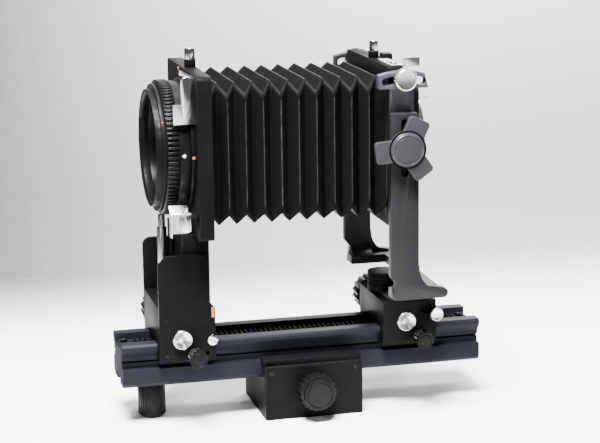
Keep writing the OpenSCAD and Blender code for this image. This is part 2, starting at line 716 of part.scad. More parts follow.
// A small black lock knob on a stalk, which clamps the carriage
module lock_knob(x, y1) {
  union() {
    ybar(2.5, y1 - lock_l + 6, -rail_half - 1.5, x, lock_z);
    ybar(3.6, y1 - lock_l + 7, y1 - slide_gap, x, lock_z);
    difference() {
      ybar(lock_r, y1 - lock_l, y1 - lock_l + 9, x, lock_z);
      scallops(lock_r, y1 - lock_l + 1.2, y1 - lock_l + 10, x, lock_z, 16, 0.7);
      difference() {
        ybar(lock_r - 1.6, y1 - lock_l - 1, y1 - lock_l + 0.4, x, lock_z);
        ybar(lock_r - 2.1, y1 - lock_l - 2, y1 - lock_l + 1, x, lock_z);
      }
    }
  }
}
module front_pinion() {
  color("#9a9ca0") pinion(front_gear_x, gear_z, -cheek_y - slide_gap - 1.4, cheek_y + slide_gap + 10);
}
module front_drive_knob() {
  color("#17171a") drive_knob(front_gear_x, cheek_y + slide_gap);
}
module front_shaft_cap() {
  color("#e3e5e6") shaft_cap(front_gear_x, -cheek_y - slide_gap);
}
module front_lock_knob() {
  color("#1a1a1d") lock_knob(lock_x(front_x0), -cheek_y);
}

// ---------- Bellows ----------
// Ring i of the folds: folds on the sides and folds on top take turns
function fold_ring(i, inset) = let (
    x = bellows_x0 + bellows_l * i / (2 * pleats), out = bellows_w / 2 - inset, in = out - fold_d,
    y = i % 2 == 0 ? out : in, z = i % 2 == 0 ? in : out)
  [[x, -y, axis_z - z], [x, y, axis_z - z], [x, y, axis_z + z], [x, -y, axis_z + z]];
module bellows() {
  n = 2 * pleats;
  outer = [for (i = [0 : n]) each fold_ring(i, 0)];
  inner = [for (i = [0 : n]) each fold_ring(i, cloth_t)];
  m = len(outer);
  color("#1b1b1d")
  polyhedron(points = concat(outer, inner), faces = concat(
    [for (i = [0 : n - 1], k = [0 : 3]) [i * 4 + k, i * 4 + (k + 1) % 4, i * 4 + 4 + (k + 1) % 4, i * 4 + 4 + k]],
    [for (i = [0 : n - 1], k = [0 : 3]) [m + i * 4 + k, m + i * 4 + 4 + k, m + i * 4 + 4 + (k + 1) % 4, m + i * 4 + (k + 1) % 4]],
    [for (k = [0 : 3]) [k, m + k, m + (k + 1) % 4, (k + 1) % 4]],
    [for (k = [0 : 3]) [n * 4 + k, n * 4 + (k + 1) % 4, m + n * 4 + (k + 1) % 4, m + n * 4 + k]]));
}

// ---------- Rear standard ----------
clamp_x = rear_x1 - 0.6;
clamp_z = rail_top + 8.9;
rear_lock_x = rear_x0 + 24.8;
spigot_r = 2.5;
module rear_saddle() {
  color("#232428")
  difference() {
    union() {
      slab([rear_x0, -rear_half, skirt_z - 0.7], [rear_x1, rear_half, rear_top]);
      // lug behind the clamp screw's head
      slab([rear_x1 - 1, -rear_half, clamp_z - 3.4], [rear_x1 + 2.7, -rear_half + 10, clamp_z + 3.4]);
    }
    cross_bar(saddle_space(slide_gap), rear_x0 - 1, rear_x1 + 4);
    gear_pocket(rear_gear_x, rear_half);
    ybar(2.5 + run_gap, -rear_half - 1, -rail_half, rear_lock_x, lock_z);
    // pivot hole of the yoke's hub
    zbar(spigot_r, rear_top - 4, rear_top + 1, swing_x, 0);
    // thread of the clamp screw, and the round recess above it
    ybar(2 + run_gap, -rear_half - 1, -rear_half + 9, clamp_x, clamp_z);
    ybar(4.2, -rear_half - 1, -rear_half + 2, rear_x1 - 7, rear_top - 5);
  }
}
module rear_clamp_screw() {
  color("#e9e9e9") {
    ybar(2, -rear_half - 3, -rear_half + 8, clamp_x, clamp_z);
    translate([clamp_x, -rear_half - slide_gap, clamp_z]) rotate([90, 0, 0]) linear_extrude(4.6) polygon(ribbed(4.6, 0.35, 24));
  }
}
module swing_plate() {
  color("#2a2b30")
  difference() {
    translate([0, 0, rear_top]) linear_extrude(plate_t)
      polygon(round_rect(rear_x0 + 4.8, -rear_half + 1.5, rear_x1 - 1, rear_half - 1.5, 4));
    zbar(spigot_r, rear_top - 1, rear_top + 5, swing_x, 0);
  }
}
module turntable() {
  // turned hub with a spigot in the saddle
  color("#1c1c20")
  difference() {
    union() {
      zbar(hub_r, table_z0 + slide_gap, yoke_z + yoke_base_t, swing_x, 0);
      zbar(spigot_r - run_gap, rear_top - 3.5, yoke_z, swing_x, 0);
    }
    // turned grooves round it, and a round socket on the near side
    for (z = [yoke_z - 2.2, yoke_z + 0.6, yoke_z + 3.2]) difference() {
      zbar(hub_r + 1, z, z + 0.9, swing_x, 0);
      zbar(hub_r - 0.7, z - 1, z + 2, swing_x, 0);
    }
    ybar(3.4, -hub_r - 1, -hub_r + 4, swing_x + 1.3, table_z0 + 4.4);
  }
}
rear_drive_y = rear_half + slide_gap;
module rear_pinion() {
  color("#9a9ca0") pinion(rear_gear_x, gear_z, -rear_half - slide_gap - 1.4, rear_half + slide_gap + 10);
}
module rear_drive_knob() {
  color("#17171a") drive_knob(rear_gear_x, rear_drive_y);
}
module rear_shaft_cap() {
  color("#e3e5e6") shaft_cap(rear_gear_x, -rear_half - slide_gap);
}
module rear_lock_knob() {
  color("#1a1a1d") lock_knob(rear_lock_x, -rear_half);
}
// Outline of a column in X and Z: a flared foot that ends in a rolled edge
foot_tip_x = column_x0 + 36;
tip_r = 3.4;
function column_outline() = concat(
  [[column_x0 + 2.5, yoke_z], [foot_tip_x, yoke_z]],
  arc([foot_tip_x, yoke_z + tip_r], tip_r, -90, 80, 8),
  arc([column_x1 + 17, yoke_z + 19 + 2.5], 17 - 0.5, 230, 180, 8),
  [[column_x1, yoke_z + 24]],
  arc([column_x1 - 2, column_top - 2], 2, 0, 90, 4),
  [[column_x0, column_top], [column_x0, yoke_z + 16], [column_x0 + 3.9, yoke_z + 11]]);
module column(s) {
  y0 = s < 0 ? -yoke_half : column_in;
  difference() {
    side_plate(column_outline(), y0, y0 + column_t);
    // slot that the carrier's boss rises in
    slab([pivot_x - slot_r, y0 - 1, tilt_z - rise_slot], [pivot_x + slot_r, y0 + column_t + 1, tilt_z + rise_slot]);
    for (e = [-1, 1]) ybar(slot_r, y0 - 1, y0 + column_t + 1, pivot_x, tilt_z + e * rise_slot);
  }
}
bend_r = 9;
module yoke() {
  toe_in = column_in - bend_r;
  toe_x0 = column_x0 + 2.5;
  bar_x0 = foot_tip_x - 9;
  base_z1 = yoke_z + yoke_base_t;
  color("#28292d")
  union() {
    column(-1);
    column(1);
    // toes of the columns, the bar that joins them and its tongue to the hub
    slab([toe_x0, -column_in - 0.5, yoke_z], [foot_tip_x, -toe_in, base_z1]);
    slab([toe_x0, toe_in, yoke_z], [foot_tip_x, column_in + 0.5, base_z1]);
    slab([bar_x0, -toe_in - 1, yoke_z], [foot_tip_x, toe_in + 1, base_z1]);
    difference() {
      slab([swing_x, -9, yoke_z], [bar_x0 + 1, 9, base_z1 - 1]);
      zbar(hub_r + run_gap, yoke_z - 1, base_z1 + 1, swing_x, 0);
    }
    base_bends(toe_x0, base_z1);
  }
}
// Bends between the columns and their toes
module base_bends(x0, z) {
  for (s = [-1, 1]) cross_bar(
    [for (p = concat([[column_in + 0.5, z - 0.5], [column_in + 0.5, z + bend_r]],
        arc([column_in - bend_r, z + bend_r], bend_r, 0, -90, 8), [[column_in - bend_r, z - 0.5]]))
      [s * p[0], p[1]]], x0 + 1.4, column_x1);
}

// ---------- Carriers ----------
function arc_slot_outline(r, half_w, a) = concat(
  arc([0, 0], r + half_w, 90 - a, 90 + a, 12), arc([r * cos(90 + a), r * sin(90 + a)], half_w, 90 + a, 270 + a, 6),
  arc([0, 0], r - half_w, 90 + a, 90 - a, 12), arc([r * cos(90 - a), r * sin(90 - a)], half_w, 270 - a, 450 - a, 6));
head_half = 16.5;
pivot_r = 1.5;
stud_r = 2;
module carrier(s) {
  y0 = s < 0 ? -carrier_out : carrier_in;
  y1 = y0 + carrier_t;
  // the head is thicker outwards, over the column's top
  hy0 = s < 0 ? y0 - head_t : y0;
  hy1 = s < 0 ? y1 : y1 + head_t;
  head_z0 = tilt_z + arc_r - 6.2;
  difference() {
    union() {
      slab([column_x0 + 1, y0, tilt_z - 14], [column_x1 - 1.5, y1, head_z0 + 1]);
      side_plate(concat([[pivot_x - head_half, head_z0]], [[pivot_x + head_half, head_z0]],
        arc([pivot_x, tilt_z], arc_r + 5.2, 90 - 16, 90 + 18, 12), [[pivot_x - head_half, tilt_z + arc_r + 2.5]]), hy0, hy1);
      // boss that runs in the column's slot
      ybar(slot_r - run_gap, s < 0 ? -yoke_half : y0, s < 0 ? y1 : yoke_half, pivot_x, tilt_z);
    }
    translate([pivot_x, hy1 + 1, tilt_z]) rotate([90, 0, 0]) linear_extrude(hy1 - hy0 + 2)
      polygon(arc_slot_outline(arc_r, slot_r, arc_half));
    ybar(pivot_r + run_gap, s < 0 ? -yoke_half - 1 : y0 - 1, s < 0 ? y1 + 1 : yoke_half + 1, pivot_x, tilt_z);
  }
}
module near_carrier() {
  color("#303138") carrier(-1);
}
module far_carrier() {
  color("#303138") carrier(1);
}
module far_pivot_screw() {
  color("#2a2a2d")
  difference() {
    union() {
      ybar(pivot_r, frame_half - 6, yoke_half + 1, pivot_x, tilt_z);
      ybar(5, yoke_half + slide_gap, yoke_half + 3, pivot_x, tilt_z);
    }
    slab([pivot_x - 6, yoke_half + 2, tilt_z - 0.5], [pivot_x + 6, yoke_half + 4, tilt_z + 0.5]);
  }
}
// One lobe of the star knob: square ends with rounded corners, and small fillets to its round middle
star_mid_r = star_cap_r + 1.6;
module lobe() {
  w = 7.2;
  r = 2.5;
  fillet_x = sqrt(pow(star_mid_r + r, 2) - pow(w + r, 2));
  lean = atan2(w + r, fillet_x);
  polygon(concat([[0, 0]], arc([fillet_x, -w - r], r, 180 - lean, 90, 4), arc([star_r - r, -w + r], r, -90, 0, 5),
    arc([star_r - r, w - r], r, 0, 90, 5), arc([fillet_x, w + r], r, 270, 180 + lean, 4)));
}
module star_knob() {
  y1 = -star_y;
  y2 = y1 - 8;
  color("#1d1d20")
  difference() {
    union() {
      ybar(6, y1 - 2, y1, pivot_x, tilt_z);
      translate([pivot_x, y1 - 1.5, tilt_z]) rotate([90, 0, 0]) linear_extrude(4.5)
        union() {
          circle(r = star_mid_r + 0.3);
          for (k = [0 : 2]) rotate(65 + 120 * k) lobe();
        }
      translate([pivot_x, y1 - 6, tilt_z]) rotate([90, 0, 0]) cylinder(r1 = star_mid_r - 0.1, r2 = star_cap_r, h = 2);
      ybar(pivot_r, y1 - 2, -frame_half + 6, pivot_x, tilt_z);
    }
    // turned ring in the cap
    difference() {
      ybar(star_cap_r - 0.9, y2 - 1, y2 + 0.5, pivot_x, tilt_z);
      ybar(star_cap_r - 1.5, y2 - 2, y2 + 1, pivot_x, tilt_z);
    }
  }
}

// ---------- Rear frame ----------
window = housing_w - 6;
module rear_frame() {
  color("#202125")
  difference() {
    cross_bar(round_rect(-frame_half, frame_z0, frame_half, frame_z1, 2.5), frame_x0, frame_x1);
    cross_bar(round_rect(-window / 2, axis_z - window / 2, window / 2, axis_z + window / 2, 3), frame_x0 - 1, frame_x1 + 1);
    for (s = [-1, 1]) {
      // seats of the tilt studs and of the pivots
      ybar(stud_r + run_gap, s < 0 ? -frame_half - 1 : frame_half - 8, s < 0 ? -frame_half + 8 : frame_half + 1, pivot_x, tilt_z + arc_r);
      ybar(pivot_r + run_gap, s < 0 ? -frame_half - 1 : frame_half - 7, s < 0 ? -frame_half + 7 : frame_half + 1, pivot_x, tilt_z);
    }
    zbar(post_r - 0.8, frame_z1 - 5, frame_z1 + 1, rear_post_x, 0);
    for (y = slide_screw_y) zbar(1.2, frame_z1 - 4, frame_z1 + 1, slide_x, y);
  }
}
slide_x = frame_x0 + 6;
slide_screw_y = [-frame_half + 8, -frame_half + 17];
rear_post_x = frame_x0 + 4.6;
pin_y = -housing_w / 2 + 6.5;
pin_z = axis_z + housing_w / 2 - 8.5;
module camera_housing() {
  color("#1d1e22")
  difference() {
    union() {
      cross_bar(round_rect(-housing_w / 2, axis_z - housing_w / 2, housing_w / 2, axis_z + housing_w / 2, 5), frame_x1, housing_x1);
      // guide block up the back of the frame
      slab([frame_x1, -5, axis_z + housing_w / 2 - 1], [frame_x1 + 6.5, 5, frame_z1 + 2.6]);
    }
    xbar(camera_r, frame_x1 - 1, housing_x1 + 1, 0, axis_z);
    xbar(0.6 + run_gap, housing_x1 - 3, housing_x1 + 1, pin_y, pin_z);
  }
}
module camera_bayonet() {
  color("#c9cacb")
  difference() {
    union() {
      xbar(camera_r + 4, housing_x1, housing_x1 + 1.5, 0, axis_z);
      xbar(camera_r + 1.2, housing_x1, housing_x1 + camera_l, 0, axis_z);
      // three lugs
      for (k = [0 : 2]) intersection() {
        xbar(camera_r + 3, housing_x1 + camera_l - 1.6, housing_x1 + camera_l, 0, axis_z);
        translate([0, 0, axis_z]) rotate([120 * k, 0, 0]) slab([housing_x1, -14, 0], [housing_x1 + 20, 14, camera_r + 5]);
      }
    }
    xbar(camera_r, housing_x1 - 1, housing_x1 + camera_l + 1, 0, axis_z);
  }
}
// A knurled knob on a stud through the arc slot; s is the side
module tilt_knob(s) {
  face = carrier_out + head_t + slide_gap;
  y0 = s < 0 ? -face - 5 : frame_half - 7;
  y1 = s < 0 ? -frame_half + 7 : face + 5;
  ybar(stud_r, y0, y1, pivot_x, tilt_z + arc_r);
  translate([pivot_x, s < 0 ? -face : face + 5.6, tilt_z + arc_r]) rotate([90, 0, 0])
    linear_extrude(5.6) polygon(ribbed(tilt_r, 0.5, 26, 0.6));
}
module near_tilt_knob() {
  color("#e8e8e8") tilt_knob(-1);
}
module far_tilt_knob() {
  color("#e8e8e8") tilt_knob(1);
}
module rear_release_post() {
  color("#16161a")
  difference() {
    union() {
      zbar(post_r, frame_z1, frame_z1 + 4.4, rear_post_x, 0);
      zbar(post_r - 0.8, frame_z1 - 5, frame_z1 + 1, rear_post_x, 0);
    }
    zbar(release_r + 0.4, frame_z1 - 6, frame_z1 + 6, rear_post_x, 0);
  }
}
module rear_release_socket() {
  color("#e8e8e8")
  difference() {
    union() {
      zbar(post_r - 0.6, frame_z1 + 4.4, frame_z1 + 11.5, rear_post_x, 0);
      zbar(release_r + 0.4, frame_z1, frame_z1 + 5, rear_post_x, 0);
    }
    zbar(release_r, frame_z1 + 4, frame_z1 + 12, rear_post_x, 0);
  }
}
module release_slide() {
  // chrome bar on top of the frame, with two oval holes and a finger tab
  color("#dededb")
  difference() {
    union() {
      slab([slide_x - 4, -frame_half + 1, frame_z1], [slide_x + 4, -16, frame_z1 + 1]);
      slab([slide_x + 3, -frame_half - 4, frame_z1], [slide_x + 14, -frame_half + 5, frame_z1 + 1]);
      slab([slide_x + 3, -frame_half - 4, frame_z1], [slide_x + 14, -frame_half - 3, frame_z1 + 6]);
    }
    for (y = slide_screw_y) {
      slab([slide_x - 1.6, y - 2, frame_z1 - 1], [slide_x + 1.6, y + 2, frame_z1 + 2]);
      for (e = [-2, 2]) zbar(1.6, frame_z1 - 1, frame_z1 + 2, slide_x, y + e);
    }
  }
}
module slide_screws() {
  color("#eeeeec")
  for (y = slide_screw_y) {
    zbar(1.2, frame_z1 - 4, frame_z1 + 1.3, slide_x, y);
    zbar(2.3, frame_z1 + 1.2, frame_z1 + 2, slide_x, y);
  }
}
module release_pin() {
  color("#d8d8d6") xbar(0.6, housing_x1 - 3, housing_x1 + 8, pin_y, pin_z);
}

slide_block();
near_jaw();
face_plate();
plate_screws();
tripod_bush();
rail_knob();
rail_pinion();
rail();
top_rack();
bottom_rack();
rail_stops();
foot();
foot_stud();
front_saddle();
near_cheek();
far_cheek();
cheek_screws();
front_upright();
lens_panel();
mount_flange();
lens_seat();
collar_ring();
ribbed_ring();
lock_lever();
lever_plate();
spring_catch();
catch_roller();
plunger_tube();
plunger_rod();
front_release_post();
front_release_socket();
index_marks();
front_pinion();
front_drive_knob();
front_shaft_cap();
front_lock_knob();
bellows();
rear_saddle();
swing_plate();
rear_clamp_screw();
rear_pinion();
rear_drive_knob();
rear_shaft_cap();
rear_lock_knob();
turntable();
yoke();
near_carrier();
far_carrier();
far_pivot_screw();
star_knob();
rear_frame();
camera_housing();
camera_bayonet();
near_tilt_knob();
far_tilt_knob();
rear_release_post();
rear_release_socket();
release_slide();
slide_screws();
release_pin();
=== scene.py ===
import bmesh
import bpy
import json
import math
from mathutils import Matrix, Vector


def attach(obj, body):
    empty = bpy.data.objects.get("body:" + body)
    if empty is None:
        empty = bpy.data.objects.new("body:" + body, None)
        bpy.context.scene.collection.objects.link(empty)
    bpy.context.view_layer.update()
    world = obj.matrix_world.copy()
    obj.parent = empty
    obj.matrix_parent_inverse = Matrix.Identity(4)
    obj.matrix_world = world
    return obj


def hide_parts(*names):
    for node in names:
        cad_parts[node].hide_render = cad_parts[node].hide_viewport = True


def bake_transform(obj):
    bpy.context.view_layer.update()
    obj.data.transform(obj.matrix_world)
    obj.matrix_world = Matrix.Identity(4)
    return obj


# ---------------------------------------------------------------- the unit and the camera
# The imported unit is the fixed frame: each dressed piece rides on the body of the solid it
# stands for. The camera stands low on the near side, a little towards the lens end, with
# the long lens that keeps the rail's edges almost parallel.
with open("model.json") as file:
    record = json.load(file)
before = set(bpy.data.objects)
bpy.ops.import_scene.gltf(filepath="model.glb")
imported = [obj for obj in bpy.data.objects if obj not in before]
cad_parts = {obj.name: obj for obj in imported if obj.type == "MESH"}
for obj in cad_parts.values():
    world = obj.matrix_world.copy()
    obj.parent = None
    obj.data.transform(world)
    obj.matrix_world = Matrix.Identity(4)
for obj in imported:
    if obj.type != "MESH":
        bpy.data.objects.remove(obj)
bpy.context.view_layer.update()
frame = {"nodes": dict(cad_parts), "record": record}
mm = 0.001
bodies = frame["record"]["behaviour"]["bodies"]
body_of = {solid: body for body, solids in bodies.items() for solid in solids}


def linked(name, data):
    """A new object in the scene, made of its data."""
    thing = bpy.data.objects.new(name, data)
    bpy.context.scene.collection.objects.link(thing)
    return thing


camera_place = (-285.97, -1181.02, 392.65)
camera_turn = math.radians(-13.606)
camera_dip = math.radians(12.264)
camera_roll = math.radians(-0.739)
photo_width = 600
photo_focus = 1820.25
film_width = 36
level = Vector((math.cos(camera_turn), math.sin(camera_turn), 0))
back = Vector((math.sin(camera_turn) * math.cos(camera_dip),
               -math.cos(camera_turn) * math.cos(camera_dip),
               math.sin(camera_dip)))
upright = back.cross(level)
right = level * math.cos(camera_roll) + upright * math.sin(camera_roll)
above = upright * math.cos(camera_roll) - level * math.sin(camera_roll)
camera = linked("camera", bpy.data.cameras.new("camera"))
camera_axes = Matrix((right, above, back)).transposed().to_4x4()
camera.matrix_world = Matrix.Translation(Vector(camera_place) * mm) @ camera_axes
camera.data.sensor_width = film_width
camera.data.lens = film_width * photo_focus / photo_width
camera.data.clip_end = 20
bpy.context.scene.camera = camera

# ---------------------------------------------------------------- table and light
# A sheet of pale paper lies under the unit and bends up behind it. Painted shade in its colour
# makes it darker in front of the unit, low on the wall and towards the lens side. A soft box
# hangs over the near side, a weak one fills from the front, a third lights only the paper behind,
# and the room is a dull white.


def added(name, mesh, material):
    """Links a finished mesh, given in metres at its place, under a material."""
    mesh.materials.clear()
    mesh.materials.append(material)
    return linked(name, mesh)


def wired(name, principled):
    """A node material with a Principled shader whose plain sockets are set from a table."""
    material = bpy.data.materials.new(name)
    material.use_nodes = True
    shader = material.node_tree.nodes["Principled BSDF"]
    for socket, value in principled.items():
        shader.inputs[socket].default_value = value
    return material, material.node_tree, shader


def node(tree, kind, *inputs, **settings):
    """Adds a node; an input is a socket to link, a value, or None to leave as it is."""
    made = tree.nodes.new(kind)
    for key, value in settings.items():
        setattr(made, key, value)
    for i, value in enumerate(inputs):
        if value is None:
            continue
        if isinstance(value, bpy.types.NodeSocket):
            tree.links.new(value, made.inputs[i])
        else:
            made.inputs[i].default_value = value
    return made


def own_place(tree):
    """Each point's place on its own piece."""
    return node(tree, "ShaderNodeTexCoord").outputs["Object"]


def noise(tree, place, scale, detail, roughness=0.5):
    """Soft random clouds from nought to one."""
    return node(tree, "ShaderNodeTexNoise", place, None, scale, detail, roughness).outputs[0]


def ramp(tree, value, span, tones=(0.0, 1.0), shape="LINEAR"):
    """Carries a value over a span into a range of tones."""
    made = node(tree, "ShaderNodeMapRange", value, *span, *tones, interpolation_type=shape)
    return made.outputs[0]


def maths(tree, operation, *values):
    """A sum, a product or another plain reckoning."""
    return node(tree, "ShaderNodeMath", *values, operation=operation).outputs[0]


def blended(tree, share, low, high, kind="FLOAT"):
    """Between two values, or with kind RGBA two colours, by a share."""
    other_inputs, result = {"FLOAT": (1, 0), "RGBA": (5, 2)}[kind]
    skipped = [None] * other_inputs
    return node(tree, "ShaderNodeMix", share, *skipped, low, high, data_type=kind).outputs[result]


paper, tree, shader = wired("paper", {"Roughness": 0.8, "Specular IOR Level": 0.2})
place = own_place(tree)
x, y, z = node(tree, "ShaderNodeSeparateXYZ", place).outputs
# Painted shade in the paper's colour: darker on the floor in front of the unit, darker low on the wall than
# high on it, lighter up the wall towards the camera end, darker towards the lens side.
in_front = ramp(tree, y, (-0.26, -0.13), (0.32, 0.96), "SMOOTHSTEP")
behind = ramp(tree, y, (0.10, 0.43), (0.0, 1.0), "SMOOTHSTEP")
rise = ramp(tree, z, (0.0, 0.5))
wall_foot = ramp(tree, x, (-0.16, 0.12), (0.095, 0.30))
wall_top = ramp(tree, x, (-0.12, 0.45), (0.11, 0.97))
ground = blended(tree, behind, in_front, blended(tree, rise, wall_foot, wall_top))
lens_side = ramp(tree, x, (-0.50, -0.18), (0.34, 1.0), "SMOOTHSTEP")
fibre = ramp(tree, noise(tree, place, 60.0, 3.0), (0.3, 0.7), (-0.008, 0.008))
tone = maths(tree, "ADD", maths(tree, "MULTIPLY", ground, lens_side), fibre)
cool = maths(tree, "MULTIPLY", tone, 1.02)
shade = node(tree, "ShaderNodeCombineColor", tone, cool, cool)
tree.links.new(shade.outputs[0], shader.inputs["Base Color"])

# The sheet's sizes and the lamps' places are in metres.
sheet_front = -2.6
sheet_side = 4
sheet_top = 6.0
bend = 0.75
bend_turns = [math.radians(6 * i) for i in range(16)]
sweep = [(sheet_front, 0)]
sweep += [(bend + bend * math.sin(a), bend - bend * math.cos(a)) for a in bend_turns]
sweep += [(2 * bend, sheet_top)]
sheet = bpy.data.meshes.new("paper")
sheet.from_pydata([(x, y, z) for y, z in sweep for x in (-sheet_side, sheet_side)], [],
                  [(2 * i, 2 * i + 1, 2 * i + 3, 2 * i + 2) for i in range(len(sweep) - 1)])
sheet.shade_smooth()
added("paper", sheet, paper)

for name, place, aim, width, height, watts in (
        ("soft_light_above", (-0.25, -0.50, 1.40), (0, 0, 0.1), 0.6, 0.45, 200),
        ("soft_light_front", (-1.3, -1.5, 1.0), (0, 0, 0.12), 0.5, 0.8, 9),
        ("paper_light", (0.5, 0.6, 1.8), (0.45, 1.5, 0.6), 1.8, 0.6, 84)):
    lamp = linked(name, bpy.data.lights.new(name, "AREA"))
    lamp.data.shape = "RECTANGLE"
    lamp.data.size = width
    lamp.data.size_y = height
    lamp.data.energy = watts
    lamp.location = place
    lamp.rotation_euler = (Vector(aim) - Vector(place)).to_track_quat("-Z", "Y").to_euler()
room = bpy.data.worlds.new("room")
bpy.context.scene.world = room
room.use_nodes = True
room_light = room.node_tree.nodes["Background"]
room_light.inputs["Color"].default_value = (0.82, 0.85, 0.88, 1)
room_light.inputs["Strength"].default_value = 0.13

# ---------------------------------------------------------------- tripod block
# A black enamelled aluminium block, milled from one piece, with a screwed-on near jaw and
# a face plate that carries the turned focusing knob. Two sunk screws hold the plate.


def with_sockets(tree, inputs, outputs):
    """Gives a node tree its inputs, by name and usual value, and its outputs, by name and kind."""
    kinds = {float: "Float", int: "Int", tuple: "Color", type(None): "Material"}
    for name, value in inputs.items():
        kind = "NodeSocket" + kinds[type(value)]
        socket = tree.interface.new_socket(name, in_out="INPUT", socket_type=kind)
        if value is not None:
            socket.default_value = value
    for name, kind in outputs.items():
        tree.interface.new_socket(name, in_out="OUTPUT", socket_type="NodeSocket" + kind)
    return tree.nodes.new("NodeGroupInput").outputs, tree.nodes.new("NodeGroupOutput").inputs


def coat_group():
    """Sprayed or anodised skin: cloudy colour, grain in the gloss and the normal, and edges
    painted lighter in patches, a painted highlight."""
    group = bpy.data.node_groups.new("coat skin", "ShaderNodeTree")
    into, out = with_sockets(
        group,
        {"Colour": (0.02, 0.02, 0.02, 1), "Cloud colour": (0.03, 0.03, 0.03, 1),
         "Cloud size": 30.0, "Grain size": 2500.0, "Gloss low": 0.3, "Gloss high": 0.4,
         "Grain depth": 0.2, "Edge highlight colour": (0.1, 0.1, 0.1, 1), "Edge highlight": 0.5},
        {"Colour": "Color", "Roughness": "Float", "Normal": "Vector"})
    place = own_place(group)
    cloud = noise(group, place, into["Cloud size"], 4.0, 0.6)
    grain = noise(group, place, into["Grain size"], 2.0)
    clouded = blended(group, ramp(group, cloud, (0.35, 0.65)), into["Colour"], into["Cloud colour"], "RGBA")
    # The bevelled edges take a lighter colour in noisy patches: a painted edge highlight.
    edge = node(group, "ShaderNodeAttribute", attribute_name="edge").outputs["Fac"]
    patch = ramp(group, noise(group, place, 220.0, 5.0, 0.7), (0.42, 0.62))
    edge_lightening = maths(group, "MULTIPLY", maths(group, "MULTIPLY", edge, patch), into["Edge highlight"])
    highlighted = blended(group, edge_lightening, clouded, into["Edge highlight colour"], "RGBA")
    both = maths(group, "ADD", cloud, grain)
    gloss = ramp(group, both, (0.7, 1.3), (into["Gloss low"], into["Gloss high"]))
    bump = node(group, "ShaderNodeBump", into["Grain depth"], 0.00004)
    group.links.new(grain, bump.inputs["Height"])
    group.links.new(highlighted, out["Colour"])
    group.links.new(gloss, out["Roughness"])
    group.links.new(bump.outputs["Normal"], out["Normal"])
    return group


coat = coat_group()


# The two settings after depth give the painted edge highlight: how strong it is, and its colour.
def coated(name, colour, cloud, gloss, depth, edge_lightening=0.5, edge_highlight=(0.03, 0.03, 0.032), **principled):
    """A coated metal or moulded plastic with the skin group set to its own values."""
    material, tree, shader = wired(name, {k.replace("_", " "): v for k, v in principled.items()})
    skin = node(tree, "ShaderNodeGroup", node_tree=coat)
    own = {"Colour": (*colour, 1), "Cloud colour": (*cloud, 1), "Gloss low": gloss[0],
           "Gloss high": gloss[1], "Grain depth": depth, "Edge highlight colour": (*edge_highlight, 1), "Edge highlight": edge_lightening}
    for socket, value in own.items():
        skin.inputs[socket].default_value = value
    tree.links.new(skin.outputs["Colour"], shader.inputs["Base Color"])
    tree.links.new(skin.outputs["Roughness"], shader.inputs["Roughness"])
    tree.links.new(skin.outputs["Normal"], shader.inputs["Normal"])
    return material


def dressed(name, mesh, material, *nodes):
    """A finished piece that stands for its CAD nodes and rides on their body."""
    piece = added(name, mesh, material)
    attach(piece, body_of[nodes[0]])
    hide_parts(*nodes)
    return piece


def settled(thing):
    """The plain mesh of an object with its modifiers carried out."""
    bpy.context.view_layer.update()
    finished = thing.evaluated_get(bpy.context.evaluated_depsgraph_get())
    made = bpy.data.meshes.new_from_object(finished)
    bpy.data.objects.remove(thing)
    return made


def rounded(mesh, edge, steps=2):
    """Breaks a mesh's machined edges by a small round, and marks those faces for the painted edge
    highlight.
    """
    flats, rounds = 0, 1
    mesh.materials.clear()
    for slot in (flats, rounds):
        mesh.materials.append(None)
    thing = linked("rough", mesh)
    rounding = thing.modifiers.new("rounding", "BEVEL")
    rounding.width = edge * mm
    rounding.segments = steps
    rounding.limit_method = "ANGLE"
    rounding.angle_limit = math.radians(28)
    rounding.harden_normals = True
    rounding.use_clamp_overlap = True
    rounding.material = rounds
    made = settled(thing)
    edge_highlight = made.attributes.new("edge", "FLOAT", "FACE")
    edge_highlight.data.foreach_set("value", [float(face.material_index == rounds) for face in made.polygons])
    made.polygons.foreach_set("material_index", [flats] * len(made.polygons))
    return made


def solid_of(nodes, keep=None):
    """A merged copy of one or more CAD nodes; keep picks some of their separate bodies by place."""
    bm = bmesh.new()
    for name in nodes:
        bm.from_mesh(frame["nodes"][name].data)
    bmesh.ops.remove_doubles(bm, verts=bm.verts, dist=1e-6)
    if keep:
        bmesh.ops.delete(bm, geom=[v for v in bm.verts if not keep(v.co)], context="VERTS")
    bmesh.ops.dissolve_limit(bm, angle_limit=math.radians(0.6), verts=bm.verts, edges=bm.edges)
    for face in bm.faces:
        face.smooth = True
    made = bpy.data.meshes.new("solid")
    bm.to_mesh(made)
    bm.free()
    return made


def machined(name, material, edge, *nodes, steps=2, keep=None):
    """A piece in the shape of its solids, the edges broken by a round given in millimetres."""
    return dressed(name, rounded(solid_of(nodes, keep), edge, steps), material, *nodes)


def softened(outline, edge):
    """An open outline of (along, radius, flute share) with each inner corner cut by three points."""
    most = 0.45
    soft = [outline[0]]
    for before, here, after in zip(outline, outline[1:], outline[2:]):
        into = math.dist(before[:2], here[:2])
        onward = math.dist(here[:2], after[:2])
        a = min(edge, into * most) / into
        b = min(edge, onward * most) / onward
        first = [h + (p - h) * a for h, p in zip(here, before)]
        last = [h + (p - h) * b for h, p in zip(here, after)]
        middle = [0.25 * f + 0.5 * h + 0.25 * t for f, h, t in zip(first, here, last)]
        soft += [first, middle, last]
    return soft + [outline[-1]]


